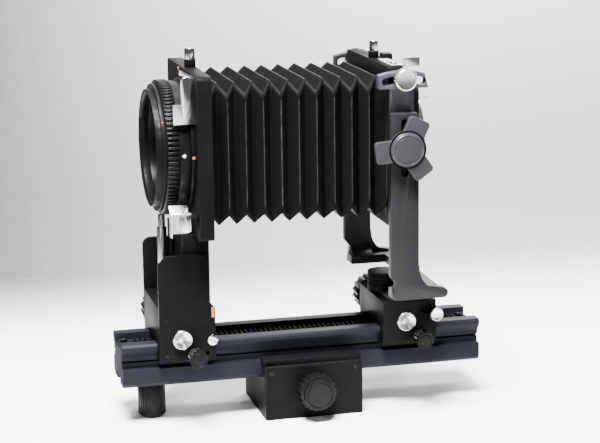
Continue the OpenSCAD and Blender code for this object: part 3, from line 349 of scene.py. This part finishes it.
def turned(outline, way, at, steps, flutes=0, dip=0.0, share=1.0, ring=False, sharp=32):
    """Turns an outline in millimetres round an axis: X, Y or Z, with - for the other way. Flutes
    are scallops cut into the points whose third number is above nothing; a ring is closed."""
    side = -1 if way[0] == "-" else 1
    bm = bmesh.new()
    lines = []
    for k in range(steps):
        a = math.tau * k / steps
        off_middle = abs((flutes * k / steps + 0.5) % 1 - 0.5) * 2
        cut = dip * math.sqrt(max(0.0, 1 - (off_middle / share) ** 2))
        line = []
        for along, radius, flute in outline:
            r = max(radius - flute * cut, 0.0)
            u, v, w = r * math.cos(a), r * math.sin(a), side * along
            x, y, z = {"X": (w, u, v), "Y": (u, w, v), "Z": (u, v, w)}[way[-1]]
            line.append(bm.verts.new(((at[0] + x) * mm, (at[1] + y) * mm, (at[2] + z) * mm)))
        lines.append(line)
    count = len(outline)
    for k in range(steps):
        one, two = lines[k], lines[(k + 1) % steps]
        for i in range(count if ring else count - 1):
            j = (i + 1) % count
            bm.faces.new((one[i], one[j], two[j], two[i]))
    bmesh.ops.remove_doubles(bm, verts=bm.verts, dist=1e-7)
    bmesh.ops.recalc_face_normals(bm, faces=bm.faces)
    made = bpy.data.meshes.new("turned")
    bm.to_mesh(made)
    bm.free()
    made.shade_smooth()
    made.set_sharp_from_angle(angle=math.radians(sharp))
    return made


def joined(*meshes):
    """One mesh from several."""
    bm = bmesh.new()
    for mesh in meshes:
        bm.from_mesh(mesh)
    made = bpy.data.meshes.new("joined")
    bm.to_mesh(made)
    bm.free()
    return made


black_enamel = coated("black_enamel", colour=(0.0034, 0.0034, 0.0038), cloud=(0.0045, 0.0045, 0.0050),
                      gloss=(0.42, 0.52), depth=0.22, Specular_IOR_Level=0.02)
screw_black = coated("screw_black", colour=(0.003, 0.003, 0.003), cloud=(0.0045, 0.0045, 0.0045),
                     gloss=(0.28, 0.36), depth=0.1, Specular_IOR_Level=0.1)
steel = coated("turned_steel", colour=(0.52, 0.51, 0.49), cloud=(0.45, 0.44, 0.43),
               gloss=(0.24, 0.34), depth=0.15, edge_lightening=0.0, Metallic=1.0)
knob_black = coated("knob_black", colour=(0.0030, 0.0030, 0.0034), cloud=(0.0042, 0.0042, 0.0046),
                    gloss=(0.30, 0.40), depth=0.18, Specular_IOR_Level=0.08)
machined("block_body", black_enamel, 0.5, "slide_block", "near_jaw")
machined("block_face_plate", black_enamel, 0.45, "face_plate")
machined("face_plate_screws", screw_black, 0.12, "plate_screws")
machined("block_tripod_bush", steel, 0.2, "tripod_bush")
machined("block_pinion", steel, 0.1, "rail_pinion")

neck = 7
grip = 13
shoulder = 11.8
face = 10.4
focusing_knob = softened([
    (0.2, 0, 0), (0.2, neck, 0), (2.8, neck, 0), (2.8, grip, 1), (10.8, grip, 1), (10.8, shoulder, 0),
    (12.2, shoulder, 0), (12.2, face, 0), (15.8, face, 0), (15.8, 9, 0), (15.3, 8.9, 0), (15.3, 8.4, 0),
    (15.7, 8.2, 0), (15.7, 0, 0)], 0.45)
focusing_knob = turned(focusing_knob, "-Y", (0, -35, 19.9), 200, flutes=20, dip=1.0, share=0.72)
dressed("block_focusing_knob", focusing_knob, knob_black, "rail_knob")

# ---------------------------------------------------------------- focusing rail
# One long bluish-black anodised extrusion with a dovetail, a waist and a lower flange, dull
# where its lens end is sawn. Blackened racks lie in its channels, and a ribbed foot stands
# on a stud under the lens end.


def ended(tree, shape, into, out):
    """Ends a geometry tree: instances become real mesh and take the material."""
    real = node(tree, "GeometryNodeRealizeInstances", shape)
    made_of = node(tree, "GeometryNodeSetMaterial", real.outputs[0], None, into["Material"])
    tree.links.new(made_of.outputs[0], out["Geometry"])
    return tree


def ribs_tree():
    """Geometry nodes: equal ribs round the Z axis, as knurling or as grip ribs."""
    tree = bpy.data.node_groups.new("ribs round an axis", "GeometryNodeTree")
    tree.is_modifier = True
    into, out = with_sockets(
        tree,
        {"Ribs": 60, "Radius": 0.03, "Rib length": 0.006, "Rib width": 0.001, "Rib height": 0.001,
         "Material": None},
        {"Geometry": "Geometry"})
    feet = node(tree, "GeometryNodeMeshCircle", into["Ribs"], into["Radius"]).outputs[0]
    size = node(tree, "ShaderNodeCombineXYZ", into["Rib height"], into["Rib width"], into["Rib length"])
    rib = node(tree, "GeometryNodeMeshCube", size.outputs[0]).outputs[0]
    place = node(tree, "GeometryNodeInputPosition").outputs[0]
    outward = node(tree, "FunctionNodeAlignRotationToVector", None, None, place, axis="X").outputs[0]
    placed = node(tree, "GeometryNodeInstanceOnPoints", feet, None, rib, None, None, outward)
    return ended(tree, placed.outputs[0], into, out)


def grown(tree, values):
    """The plain mesh that a geometry node tree makes from its named inputs."""
    start = linked("start", bpy.data.meshes.new("start"))
    step = start.modifiers.new("tree", "NODES")
    step.node_group = tree
    for item in tree.interface.items_tree:
        if item.name in values:
            step[item.identifier] = values[item.name]
    return settled(start)


rib_rule = ribs_tree()


def ribs(count, radius, length, width, height, way, at, edge, material):
    """Ribs round the axis X, Y or Z, their middles at a place; radius is to the ribs' tops."""
    made = grown(rib_rule, {
        "Ribs": count, "Radius": (radius - height / 2) * mm, "Rib length": length * mm,
        "Rib width": width * mm, "Rib height": height * mm, "Material": material})
    quarter = math.pi / 2
    lean = {"X": Matrix.Rotation(quarter, 4, "Y"), "Y": Matrix.Rotation(quarter, 4, "X"),
            "Z": Matrix.Identity(4)}[way]
    made.transform(Matrix.Translation(Vector(at) * mm) @ lean)
    made = rounded(made, edge)
    made.shade_smooth()
    return made


# The rail's bluish, lighter edge colour is a painted sheen along its edges.
rail_blue = coated("rail_anodised", colour=(0.0072, 0.0077, 0.0108), cloud=(0.0092, 0.0098, 0.0140),
                   gloss=(0.36, 0.44), depth=0.15, edge_highlight=(0.035, 0.038, 0.05),
                   Metallic=0.05, Specular_IOR_Level=0.035)
tree = rail_blue.node_tree
skin_gloss = tree.nodes["Principled BSDF"].inputs["Roughness"]
lens_end = node(tree, "ShaderNodeSeparateXYZ", own_place(tree)).outputs[0]
sawn_gloss = ramp(tree, lens_end, (-0.1279, -0.1276), (0.85, 0.0))
duller = maths(tree, "MAXIMUM", sawn_gloss, skin_gloss.links[0].from_socket)
tree.links.new(duller, skin_gloss)
rack_black = coated("rack_black", colour=(0.002, 0.002, 0.002), cloud=(0.003, 0.003, 0.003),
                    gloss=(0.5, 0.62), depth=0.2, edge_lightening=0.02, Specular_IOR_Level=0.03)
machined("rail_bar", rail_blue, 0.35, "rail")
machined("rail_top_rack", rack_black, 0.1, "top_rack")
machined("rail_bottom_rack", rack_black, 0.1, "bottom_rack")
machined("rail_stop_screws", screw_black, 0.25, "rail_stops")
machined("foot_stud_steel", steel, 0.15, "foot_stud")

foot_x = -106
stud_bore = 3.05
foot_core = softened([
    (0, 0, 0), (0, 7.2, 0), (1.5, 8.7, 0), (23, 8.6, 0), (23, 8, 0), (26.3, 8, 0),
    (26.3, stud_bore, 0), (21, stud_bore, 0), (21, 0, 0)], 0.35)
foot_core = turned(foot_core, "Z", (foot_x, 0, 0), 96)
foot_ribs = ribs(count=28, radius=9.4, length=20.6, width=1.3, height=1.6, way="Z",
                 at=(foot_x, 0, 12.1), edge=0.3, material=knob_black)
dressed("rail_foot", joined(foot_core, foot_ribs), knob_black, "foot")

# ---------------------------------------------------------------- front carriage
# A black saddle between two enamelled cheeks, with a cast upright for the lens panel. The
# near cheek has a chrome shaft cap, a lock knob, an orange index line and a slotted screw.
machined("front_saddle_block", black_enamel, 0.4, "front_saddle")
machined("front_near_cheek", black_enamel, 0.4, "near_cheek")
machined("front_far_cheek", black_enamel, 0.4, "far_cheek")
machined("front_upright_cast", black_enamel, 0.5, "front_upright")

chrome = coated("polished_chrome", colour=(0.90, 0.90, 0.89), cloud=(0.86, 0.86, 0.86),
                gloss=(0.07, 0.13), depth=0.03, edge_lightening=0.0, Metallic=1.0)
index_orange = coated("index_orange", colour=(0.52, 0.13, 0.002), cloud=(0.46, 0.11, 0.002),
                      gloss=(0.4, 0.5), depth=0.1, edge_lightening=0.0)
screws_apart = -73.5 * mm
strip_foot = 54 * mm
strip_head = 64 * mm
mount_foot = 100 * mm


def black_screws(p):
    """The sunk screws: all of the far cheek's, and the near one's towards the lens end."""
    return p.x < screws_apart or p.y > 0


def slotted_screw(p):
    """The bright screw in the strip of the near cheek."""
    return p.x > screws_apart and p.y < 0 and strip_foot < p.z < strip_head


def below_mount(p):
    """The index line on the saddle, without the mount's dots."""
    return p.z < mount_foot


machined("front_cheek_screws", screw_black, 0.12, "cheek_screws", keep=black_screws)
strip_screw = machined("front_strip_screw", chrome, 0.2, "cheek_screws", keep=slotted_screw)
machined("front_index_line", index_orange, 0.05, "index_marks", keep=below_mount)
machined("front_pinion_steel", steel, 0.1, "front_pinion")


def turned_chrome():
    """Chrome whose end faces keep the fine rings of the lathe, which draw light out in wedges."""
    material, tree, shader = wired("turned_chrome", {"Metallic": 1.0, "Anisotropic": 0.9})
    cloud = noise(tree, own_place(tree), 300.0, 3.0)
    tint = ramp(tree, cloud, (0.3, 0.7), (0.84, 0.90))
    shade = node(tree, "ShaderNodeCombineColor", tint, tint, tint)
    tree.links.new(shade.outputs[0], shader.inputs["Base Color"])
    tree.links.new(ramp(tree, cloud, (0.3, 0.7), (0.22, 0.28)), shader.inputs["Roughness"])
    rings = node(tree, "ShaderNodeAttribute", attribute_name="ring").outputs["Vector"]
    rings = node(tree, "ShaderNodeVectorTransform", rings, vector_type="VECTOR",
                 convert_from="OBJECT", convert_to="WORLD")
    tree.links.new(rings.outputs[0], shader.inputs["Tangent"])
    return material


cap_chrome = turned_chrome()
shaft_height = 61
lock_height = 50.8
drive_grip_reach = 46.5
lock_stalk_reach = 23.5


def shaft_cap(name, x, y, cad):
    """A turned cap with a shallow cone in its face, on the near end of a pinion shaft."""
    outline = softened([
        (0, 0, 0), (0, 6.5, 0), (2.1, 6.5, 0), (2.6, 6, 0), (0.7, 0.5, 0), (0.65, 0, 0)], 0.25)
    made = turned(outline, "-Y", (x, y, shaft_height), 128, sharp=14)
    middle = Vector((x, 0, shaft_height)) * mm
    ring = made.attributes.new("ring", "FLOAT_VECTOR", "POINT")
    for mark, point in zip(ring.data, made.vertices):
        out = point.co - middle
        off_axis = math.hypot(out.x, out.z) > 1e-6
        mark.vector = (out.x, 0, out.z) if off_axis else (1, 0, 0)
    return dressed(name, made, cap_chrome, cad)


def drive_knob(name, x, y, cad):
    """A scalloped knob on a collar, beyond the far side."""
    collar = 9
    grip = 14
    start = drive_grip_reach - y
    end = start + 12
    face = end + 2
    dish = face - 0.5
    outline = softened([
        (0, 0, 0), (0, collar, 0), (start, collar, 0), (start, grip, 1), (end, grip, 1), (end, 11.6, 0),
        (face, 11.2, 0), (face, 8, 0), (dish, 7.6, 0), (dish, 0, 0)], 0.5)
    knob = turned(outline, "Y", (x, y, shaft_height), 216, flutes=18, dip=1.0, share=0.7)
    return dressed(name, knob, knob_black, cad)


def lock_knob(name, x, y, cad):
    """A small fluted knob on a stalk, which clamps its carriage to the rail."""
    stalk_end = -(y + lock_stalk_reach)
    stalk = 2.5
    collar = 3.6
    grip = 6.2
    face = 17
    dish = face - 0.4
    middle = face - 0.1
    outline = softened([
        (stalk_end, 0, 0), (stalk_end, stalk, 0), (0.1, stalk, 0), (0.2, collar, 0), (8, collar, 0),
        (8, grip, 0), (9.2, grip, 0), (9.4, grip, 1), (15, grip, 1), (face, 5.9, 0.6), (face, 4.6, 0),
        (dish, 4.4, 0), (dish, 4, 0), (middle, 3.8, 0), (middle, 0, 0)], 0.3)
    knob = turned(outline, "-Y", (x, y, lock_height), 160, flutes=16, dip=0.45, share=0.8)
    return dressed(name, knob, knob_black, cad)


front_shaft = -89.3
shaft_cap("front_cap", front_shaft, -33.0, "front_shaft_cap")
drive_knob("front_drive", front_shaft, 33.0, "front_drive_knob")
lock_knob("front_lock", -81.3, -32.8, "front_lock_knob")

# ---------------------------------------------------------------- lens panel and mount
# A thick enamelled panel, and on it a turned black mount: flange, collar, a ring of fine ribs
# to turn it by, and the seat for the lens. The index dots are small pits filled with paint,
# the one on the panel is a brass pin.
lens_axis = 185.2
mount_black = coated("mount_black", colour=(0.0028, 0.0028, 0.0032), cloud=(0.0038, 0.0038, 0.0042),
                     gloss=(0.28, 0.36), depth=0.15, Specular_IOR_Level=0.07)
seat_metal = coated("seat_metal", colour=(0.0028, 0.0028, 0.0032), cloud=(0.0042, 0.0042, 0.0046),
                    gloss=(0.34, 0.44), depth=0.3, edge_highlight=(0.08, 0.08, 0.08), Specular_IOR_Level=0.06)


def mount_ring(points, edge, steps=192):
    """A turned ring round the lens axis, its corners at places along the rail and radii."""
    corners = [(along, radius, 0) for along, radius in points]
    outline = softened([*corners, corners[0], corners[1]], edge)[1:-1]
    return turned(outline, "X", (0, 0, lens_axis), steps, ring=True, sharp=30)


mount_front = -97.5
grip_back = -89.5
collar_back = -82.2
panel_face = -79.5
tube = 40
ring_bore = tube + 0.05
flange = mount_ring([(mount_front, 34), (mount_front, tube), (-82, tube), (-82, 46),
                     (panel_face, 46), (panel_face, 34)], 0.4)
collar = mount_ring([(grip_back, ring_bore), (grip_back, 43.6), (-88.9, 44), (-83, 44),
                     (-82.7, 43.4), (collar_back, 43.4), (collar_back, ring_bore)], 0.25)
grip_core = mount_ring([(mount_front, ring_bore), (mount_front, 43.4), (-97, 43.95), (-90, 43.95),
                        (grip_back, 43.5), (grip_back, ring_bore)], 0.25, steps=176)
grip_ribs = ribs(count=88, radius=45, length=7.0, width=1.65, height=2.2, way="X",
                 at=(-93.5, 0, lens_axis), edge=0.3, material=mount_black)
machined("panel_plate", black_enamel, 0.6, "lens_panel")
dressed("mount_flange_ring", flange, mount_black, "mount_flange")
dressed("mount_collar", collar, mount_black, "collar_ring")
dressed("mount_grip_ring", joined(grip_core, grip_ribs), mount_black, "ribbed_ring")
machined("mount_lens_seat", seat_metal, 0.3, "lens_seat")


def dot(name, at, way, radius, material):
    """A filled index dot that stands a hair proud of the metal."""
    root = -0.2
    crown = 0.25
    outline = [(root, 0, 0), (root, radius, 0), (0.12, radius, 0), (0.22, radius * 0.8, 0), (crown, 0, 0)]
    return dressed(name, turned(outline, way, at, 32), material, "index_marks")


brass = coated("index_brass", colour=(0.75, 0.48, 0.18), cloud=(0.7, 0.42, 0.15),
               gloss=(0.3, 0.4), depth=0.1, edge_lightening=0.0, Metallic=0.6)
index_white = coated("index_white", colour=(0.82, 0.82, 0.8), cloud=(0.78, 0.78, 0.76),
                     gloss=(0.45, 0.55), depth=0.1, edge_lightening=0.0)
index_red = coated("index_red", colour=(0.35, 0.04, 0.03), cloud=(0.30, 0.03, 0.02),
                   gloss=(0.45, 0.55), depth=0.1, edge_lightening=0.0)
dot("panel_dot", (panel_face, 12, 235.6), "-X", 1.3, brass)
dot("collar_dot", (-86.6, -44.0, 186.0), "-Y", 1.1, index_white)
dot("seat_dot", (-99.1, -36.3, 207.2), "-Y", 0.8, index_red)
dot("flange_dot", (-80.8, -46.0, 184.8), "-Y", 1.0, index_orange)

# ---------------------------------------------------------------- chrome fittings of the panel
# A chrome lever on its pin, the plate behind it, a bent spring catch with a knurled roller,
# the plunger under the mount and the screwed socket of the cable release on its black post.
satin_chrome = coated("satin_chrome", colour=(0.84, 0.83, 0.80), cloud=(0.78, 0.78, 0.76),
                      gloss=(0.18, 0.28), depth=0.08, edge_lightening=0.0, Metallic=1.0)
machined("panel_lever", chrome, 0.55, "lock_lever", steps=3)
machined("panel_lever_plate", satin_chrome, 0.25, "lever_plate")
machined("panel_spring_catch", satin_chrome, 0.25, "spring_catch")

roller_x = -87.3
roller_y = -48.2
roller_foot = 137.2
barrel = 2.75
waist = 1.5
tip = 2.1
roller_core = softened([
    (0, 0, 0), (0, barrel, 0), (11.6, barrel, 0), (11.6, waist, 0), (13, waist, 0), (13, tip, 0),
    (17.8, tip, 0), (17.8, 0, 0)], 0.25)
roller_core = turned(roller_core, "Z", (roller_x, roller_y, roller_foot), 48)
roller_ribs = ribs(count=18, radius=3.1, length=11.0, width=0.6, height=0.7, way="Z",
                   at=(roller_x, roller_y, roller_foot + 5.8), edge=0.12, material=chrome)
dressed("panel_catch_roller", joined(roller_core, roller_ribs), chrome, "catch_roller")
machined("mount_plunger_tube", satin_chrome, 0.25, "plunger_tube")
machined("mount_plunger_rod", satin_chrome, 0.3, "plunger_rod")
machined("panel_release_post", mount_black, 0.3, "front_release_post")
machined("panel_release_socket", chrome, 0.35, "front_release_socket", steps=3)

# ---------------------------------------------------------------- bellows
# Square bellows of thin black coated cloth. Folds on the sides and on top take turns, so
# the corners lock into mitres; the outer folds are lighter grey in patches. The cloth is one
# length, made here in five stretches, each between two bodies.


def pleats_tree():
    """Geometry nodes: a square tube whose side folds and top folds take turns."""
    tree = bpy.data.node_groups.new("pleated square tube", "GeometryNodeTree")
    tree.is_modifier = True
    into, out = with_sockets(
        tree,
        {"Start": 0.0, "End": 0.1, "Rings": 60, "Columns": 65, "First fold": 0.0, "Pitch": 0.01,
         "Fold depth": 0.007, "Valley": 0.04, "Middle height": 0.18, "Crease": 0.06, "Sag": 0.0004,
         "Material": None},
        {"Geometry": "Geometry"})

    def calc(operation, *values):
        return maths(tree, operation, *values)

    # A unit grid gives each point its place along the rail, and from 0 to 4 round the four sides.
    grid = node(tree, "GeometryNodeMeshGrid", 1.0, 1.0, into["Rings"], into["Columns"])
    across_grid = node(tree, "GeometryNodeInputPosition").outputs[0]
    grid_x, grid_y, _ = node(tree, "ShaderNodeSeparateXYZ", across_grid).outputs
    length = calc("SUBTRACT", into["End"], into["Start"])
    along = calc("MULTIPLY_ADD", calc("ADD", grid_x, 0.5), length, into["Start"])
    about = calc("MULTIPLY", calc("ADD", grid_y, 0.5), 4.0)

    # A wave with rounded creases says how far out the side folds stand; the top is its opposite.
    folded = calc("SUBTRACT", along, into["First fold"])
    phase = calc("DIVIDE", calc("MULTIPLY", folded, 2.0), into["Pitch"])
    ridge = calc("SUBTRACT", 1.0, calc("PINGPONG", phase, 1.0))
    valley = calc("SUBTRACT", 1.0, ridge)
    crease = calc("MULTIPLY", into["Crease"], into["Crease"])
    far = calc("SQRT", calc("MULTIPLY_ADD", ridge, ridge, crease))
    near = calc("SQRT", calc("MULTIPLY_ADD", valley, valley, crease))
    whole = calc("SUBTRACT", calc("SQRT", calc("ADD", crease, 1.0)), into["Crease"])
    side_fold = calc("MULTIPLY_ADD", calc("DIVIDE", calc("SUBTRACT", far, near), whole), 0.5, 0.5)
    top_fold = calc("SUBTRACT", 1.0, side_fold)

    def swing(middle):
        """From 1 on one side, through its two neighbours, to -1 on the side across."""
        gap = calc("ABSOLUTE", calc("SUBTRACT", about, middle))
        slope = calc("SUBTRACT", calc("MULTIPLY", calc("SUBTRACT", 1.5, gap), 2.0), 1.0)
        return node(tree, "ShaderNodeClamp", slope, -1.0, 1.0).outputs[0]

    up, across = swing(1.5), swing(2.5)
    half_width = calc("MULTIPLY_ADD", side_fold, into["Fold depth"], into["Valley"])
    half_height = calc("MULTIPLY_ADD", top_fold, into["Fold depth"], into["Valley"])
    y = calc("MULTIPLY", half_width, across)
    z = calc("MULTIPLY_ADD", half_height, up, into["Middle height"])
    point = node(tree, "ShaderNodeCombineXYZ", along, y, z).outputs[0]
    limp = node(tree, "ShaderNodeTexNoise", point, None, 45.0, 2.0).outputs[1]
    loose = node(tree, "ShaderNodeVectorMath", limp, (0.5, 0.5, 0.5), operation="SUBTRACT").outputs[0]
    loose = node(tree, "ShaderNodeVectorMath", loose, operation="SCALE")
    tree.links.new(into["Sag"], loose.inputs["Scale"])

    # The fold is stored while the points still lie on the grid, because both read their place.
    on_side = calc("LESS_THAN", calc("ABSOLUTE", up), 0.9999)
    fold = blended(tree, on_side, top_fold, side_fold)
    marked = node(tree, "GeometryNodeStoreNamedAttribute", grid.outputs[0],
                  data_type="FLOAT", domain="POINT")
    marked.inputs["Name"].default_value = "fold"
    tree.links.new(fold, marked.inputs["Value"])
    shaped = node(tree, "GeometryNodeSetPosition", marked.outputs[0], None, point, loose.outputs[0])
    closed = node(tree, "GeometryNodeMergeByDistance", shaped.outputs[0])
    closed.inputs["Distance"].default_value = 1e-6
    smooth = node(tree, "GeometryNodeSetShadeSmooth", closed.outputs[0])
    return ended(tree, smooth.outputs[0], into, out)


def bellows_cloth():
    """Coated cloth: a fine weave under the coat, cloudy gloss, and the outer folds lighter grey in patches.
    """
    material, tree, shader = wired("bellows_cloth", {"Specular IOR Level": 0.025})
    place = own_place(tree)
    cloud = noise(tree, place, 120.0, 5.0, 0.7)
    fold = node(tree, "ShaderNodeAttribute", attribute_name="fold").outputs["Fac"]
    # The outermost crests of the folds turn lighter grey in noisy patches.
    crest = ramp(tree, fold, (0.93, 1.0))
    patch = ramp(tree, cloud, (0.35, 0.6), (0.25, 1.0))
    edge_lightening = maths(tree, "MULTIPLY", crest, patch)
    black = (0.0032, 0.0031, 0.0034, 1)
    fold_grey = (0.030, 0.029, 0.029, 1)
    tree.links.new(blended(tree, edge_lightening, black, fold_grey, "RGBA"), shader.inputs["Base Color"])
    tree.links.new(ramp(tree, cloud, (0.3, 0.7), (0.42, 0.6)), shader.inputs["Roughness"])
    warp = node(tree, "ShaderNodeTexWave", place, 520.0, 0.6, 2.0, bands_direction="X")
    weft = node(tree, "ShaderNodeTexWave", place, 520.0, 0.6, 2.0, bands_direction="DIAGONAL")
    weave = maths(tree, "MULTIPLY", warp.outputs["Fac"], weft.outputs["Fac"])
    bump = node(tree, "ShaderNodeBump", 0.25, 0.0001)
    tree.links.new(maths(tree, "ADD", weave, cloud), bump.inputs["Height"])
    tree.links.new(bump.outputs["Normal"], shader.inputs["Normal"])
    return material


cloth = bellows_cloth()
cloth_thickness = 0.7
pleats = pleats_tree()
bellows_start = -70
bellows_length = 118
bellows_rings = 160
fold_count = 10


def bellows_part(name, first, last):
    """A stretch of the bellows from one ring to another, a thin shell."""
    ring_step = bellows_length / bellows_rings
    start = (bellows_start + ring_step * first) * mm
    end = (bellows_start + ring_step * last) * mm
    middle = lens_axis * mm
    tube = grown(pleats, {
        "Start": start, "End": end, "Rings": last - first + 1, "Columns": 65,
        "First fold": bellows_start * mm, "Pitch": bellows_length / fold_count * mm,
        "Fold depth": 7.5 * mm, "Valley": 39.5 * mm, "Middle height": middle,
        "Crease": 0.05, "Sag": 0.0006, "Material": cloth})
    bm = bmesh.new()
    bm.from_mesh(tube)
    bmesh.ops.recalc_face_normals(bm, faces=bm.faces)
    outward = 0.0
    for face in bm.faces:
        at = face.calc_center_median()
        outward += face.normal.dot(Vector((0, at.y, at.z - middle))) * face.calc_area()
    if outward < 0:
        bmesh.ops.reverse_faces(bm, faces=bm.faces)
    bm.to_mesh(tube)
    bm.free()
    skin = linked("skin", tube)
    shell = skin.modifiers.new("thickness", "SOLIDIFY")
    shell.thickness = cloth_thickness * mm
    shell.offset = -1
    piece = added(name, settled(skin), cloth)
    piece.data.shade_smooth()
    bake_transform(piece)
    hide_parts("bellows")
    return piece


for name, first, last, front_body, rear_body in (
        ("bellows_lens_end", 0, 64, "front_carriage", "rail"),
        ("bellows_middle", 64, 104, "rail", "rear_carriage"),
        ("bellows_swing", 104, 120, "rear_carriage", "yoke"),
        ("bellows_rise", 120, 136, "yoke", "carrier"),
        ("bellows_camera_end", 136, bellows_rings, "carrier", "rear_frame")):
    bellows_part(name, first, last)

# ---------------------------------------------------------------- rear carriage
# A black saddle with a grey anodised swing plate, a knurled chrome clamp screw at its end,
# and the same turned cap, lock knob and far drive knob as in front.
grey_metal = coated("grey_anodised", colour=(0.014, 0.014, 0.015), cloud=(0.018, 0.018, 0.020),
                    gloss=(0.30, 0.38), depth=0.25, edge_highlight=(0.06, 0.06, 0.06), Specular_IOR_Level=0.15)
machined("rear_saddle_block", black_enamel, 0.4, "rear_saddle")
machined("rear_swing_plate", grey_metal, 0.3, "swing_plate")
machined("rear_pinion_steel", steel, 0.1, "rear_pinion")

clamp_x = 87.1
clamp_seat = -30
clamp_height = 64.9
clamp_shank = 2
clamp_head = 4.3
clamp_core = softened([
    (-8, 0, 0), (-8, clamp_shank, 0), (0.2, clamp_shank, 0), (0.2, clamp_head, 0), (4, clamp_head, 0),
    (4.8, 3.9, 0), (4.6, 3.2, 0), (4.2, 0, 0)], 0.25)
clamp_core = turned(clamp_core, "-Y", (clamp_x, clamp_seat, clamp_height), 64)
clamp_ribs = ribs(count=24, radius=4.6, length=3.9, width=0.6, height=0.8, way="Y",
                  at=(clamp_x, clamp_seat - 2.3, clamp_height), edge=0.12, material=chrome)
dressed("rear_clamp", joined(clamp_core, clamp_ribs), chrome, "rear_clamp_screw")

# Both pinions run in one rack, so their shafts stand a whole number of teeth apart.
tooth_pitch = 1.1 * math.pi
teeth_between = 45
rear_shaft = front_shaft + teeth_between * tooth_pitch
shaft_cap("rear_cap", rear_shaft, -30.2, "rear_shaft_cap")
drive_knob("rear_drive", rear_shaft, 30.2, "rear_drive_knob")
lock_knob("rear_lock", 75.0, -30.0, "rear_lock_knob")

# ---------------------------------------------------------------- yoke and carriers
# A U of thick anodised plate bent up from one bar, on a turned hub. Two carriers rise in its
# slots, and a cast three-lobed knob clamps the near one; a black ring round the knob's cap is
# painted shade for the gap there.
yoke_grey = coated("yoke_grey", colour=(0.0100, 0.0100, 0.0108), cloud=(0.0118, 0.0118, 0.0128),
                   gloss=(0.34, 0.42), depth=0.25, edge_highlight=(0.06, 0.06, 0.065), Specular_IOR_Level=0.15)
# The near carrier's grey is over three times lighter than the yoke grey of the far carrier: painted light
# for the light it does not get.
near_carrier_painted_light = coated("near_carrier_painted_light", colour=(0.034, 0.035, 0.040), cloud=(0.040, 0.041, 0.047),
                      gloss=(0.30, 0.38), depth=0.25, edge_highlight=(0.08, 0.08, 0.09), Specular_IOR_Level=0.15)
star_grey = coated("star_grey", colour=(0.021, 0.0216, 0.0232), cloud=(0.0245, 0.0252, 0.0270),
                   gloss=(0.28, 0.36), depth=0.2, edge_highlight=(0.08, 0.08, 0.085), Specular_IOR_Level=0.2)
# Near black: the painted shade of the gap round the star knob's cap.
painted_gap_shade = coated("painted_gap_shade", colour=(0.0012, 0.0012, 0.0012), cloud=(0.0018, 0.0018, 0.0018),
                   gloss=(0.55, 0.7), depth=0.5, edge_lightening=0.0, Specular_IOR_Level=0.05)
machined("yoke_plate", yoke_grey, 0.55, "yoke")
machined("yoke_hub", black_enamel, 0.25, "turntable")
machined("near_carrier_plate", near_carrier_painted_light, 0.4, "near_carrier")
machined("far_carrier_plate", yoke_grey, 0.4, "far_carrier")
machined("far_pivot", screw_black, 0.25, "far_pivot_screw")
machined("star_knob_cast", star_grey, 0.6, "star_knob", steps=3)

column_x = 56.1
star_place = (column_x, -60, 186.4)
# A black ring standing a hair proud of the lobes is painted shade for the gap round the cap.
painted_gap_ring = turned([(7.3, 11.6, 0), (7.3, 12.7, 0), (7.72, 12.6, 0), (7.72, 11.4, 0)],
                 "-Y", star_place, 96, ring=True)
dressed("star_knob_painted_shade", painted_gap_ring, painted_gap_shade, "star_knob")

# ---------------------------------------------------------------- rear frame and camera housing
# An enamelled square frame with the camera's housing screwed behind it and a satin chrome
# bayonet. It carries a release socket on its post, a chrome slide held by two screws, and it
# is clamped in the carriers' arcs by two knurled chrome knobs.
machined("rear_frame_plate", black_enamel, 0.5, "rear_frame")
machined("camera_housing_box", black_enamel, 0.5, "camera_housing")
machined("camera_bayonet_ring", satin_chrome, 0.25, "camera_bayonet")
machined("housing_pin", steel, 0.1, "release_pin")
machined("frame_release_post", mount_black, 0.3, "rear_release_post")
machined("frame_release_socket", chrome, 0.35, "rear_release_socket", steps=3)
machined("frame_release_slide", satin_chrome, 0.2, "release_slide")
machined("frame_slide_screws", chrome, 0.3, "slide_screws")
tilt_height = 231.6
tilt_seat = 59.4


def tilt_knob(name, side, cad):
    """A knurled chrome knob with a turned face, on its stud through the arc slot."""
    stud_end = -15.2
    stud = 2
    head = 7.1
    face = 5.6
    dish = face - 0.7
    core = softened([
        (stud_end, 0, 0), (stud_end, stud, 0), (0, stud, 0), (0, head, 0), (dish, head, 0),
        (face, 6.4, 0), (face - 0.3, 5.4, 0), (dish, 0, 0)], 0.3)
    way = "-Y" if side < 0 else "Y"
    core = turned(core, way, (column_x, side * tilt_seat, tilt_height), 104)
    teeth = ribs(count=26, radius=7.5, length=4.6, width=0.95, height=1.0, way="Y",
                 at=(column_x, side * (tilt_seat + 2.6), tilt_height), edge=0.16, material=chrome)
    return dressed(name, joined(core, teeth), satin_chrome, cad)


tilt_knob("near_tilt", -1, "near_tilt_knob")
tilt_knob("far_tilt", 1, "far_tilt_knob")
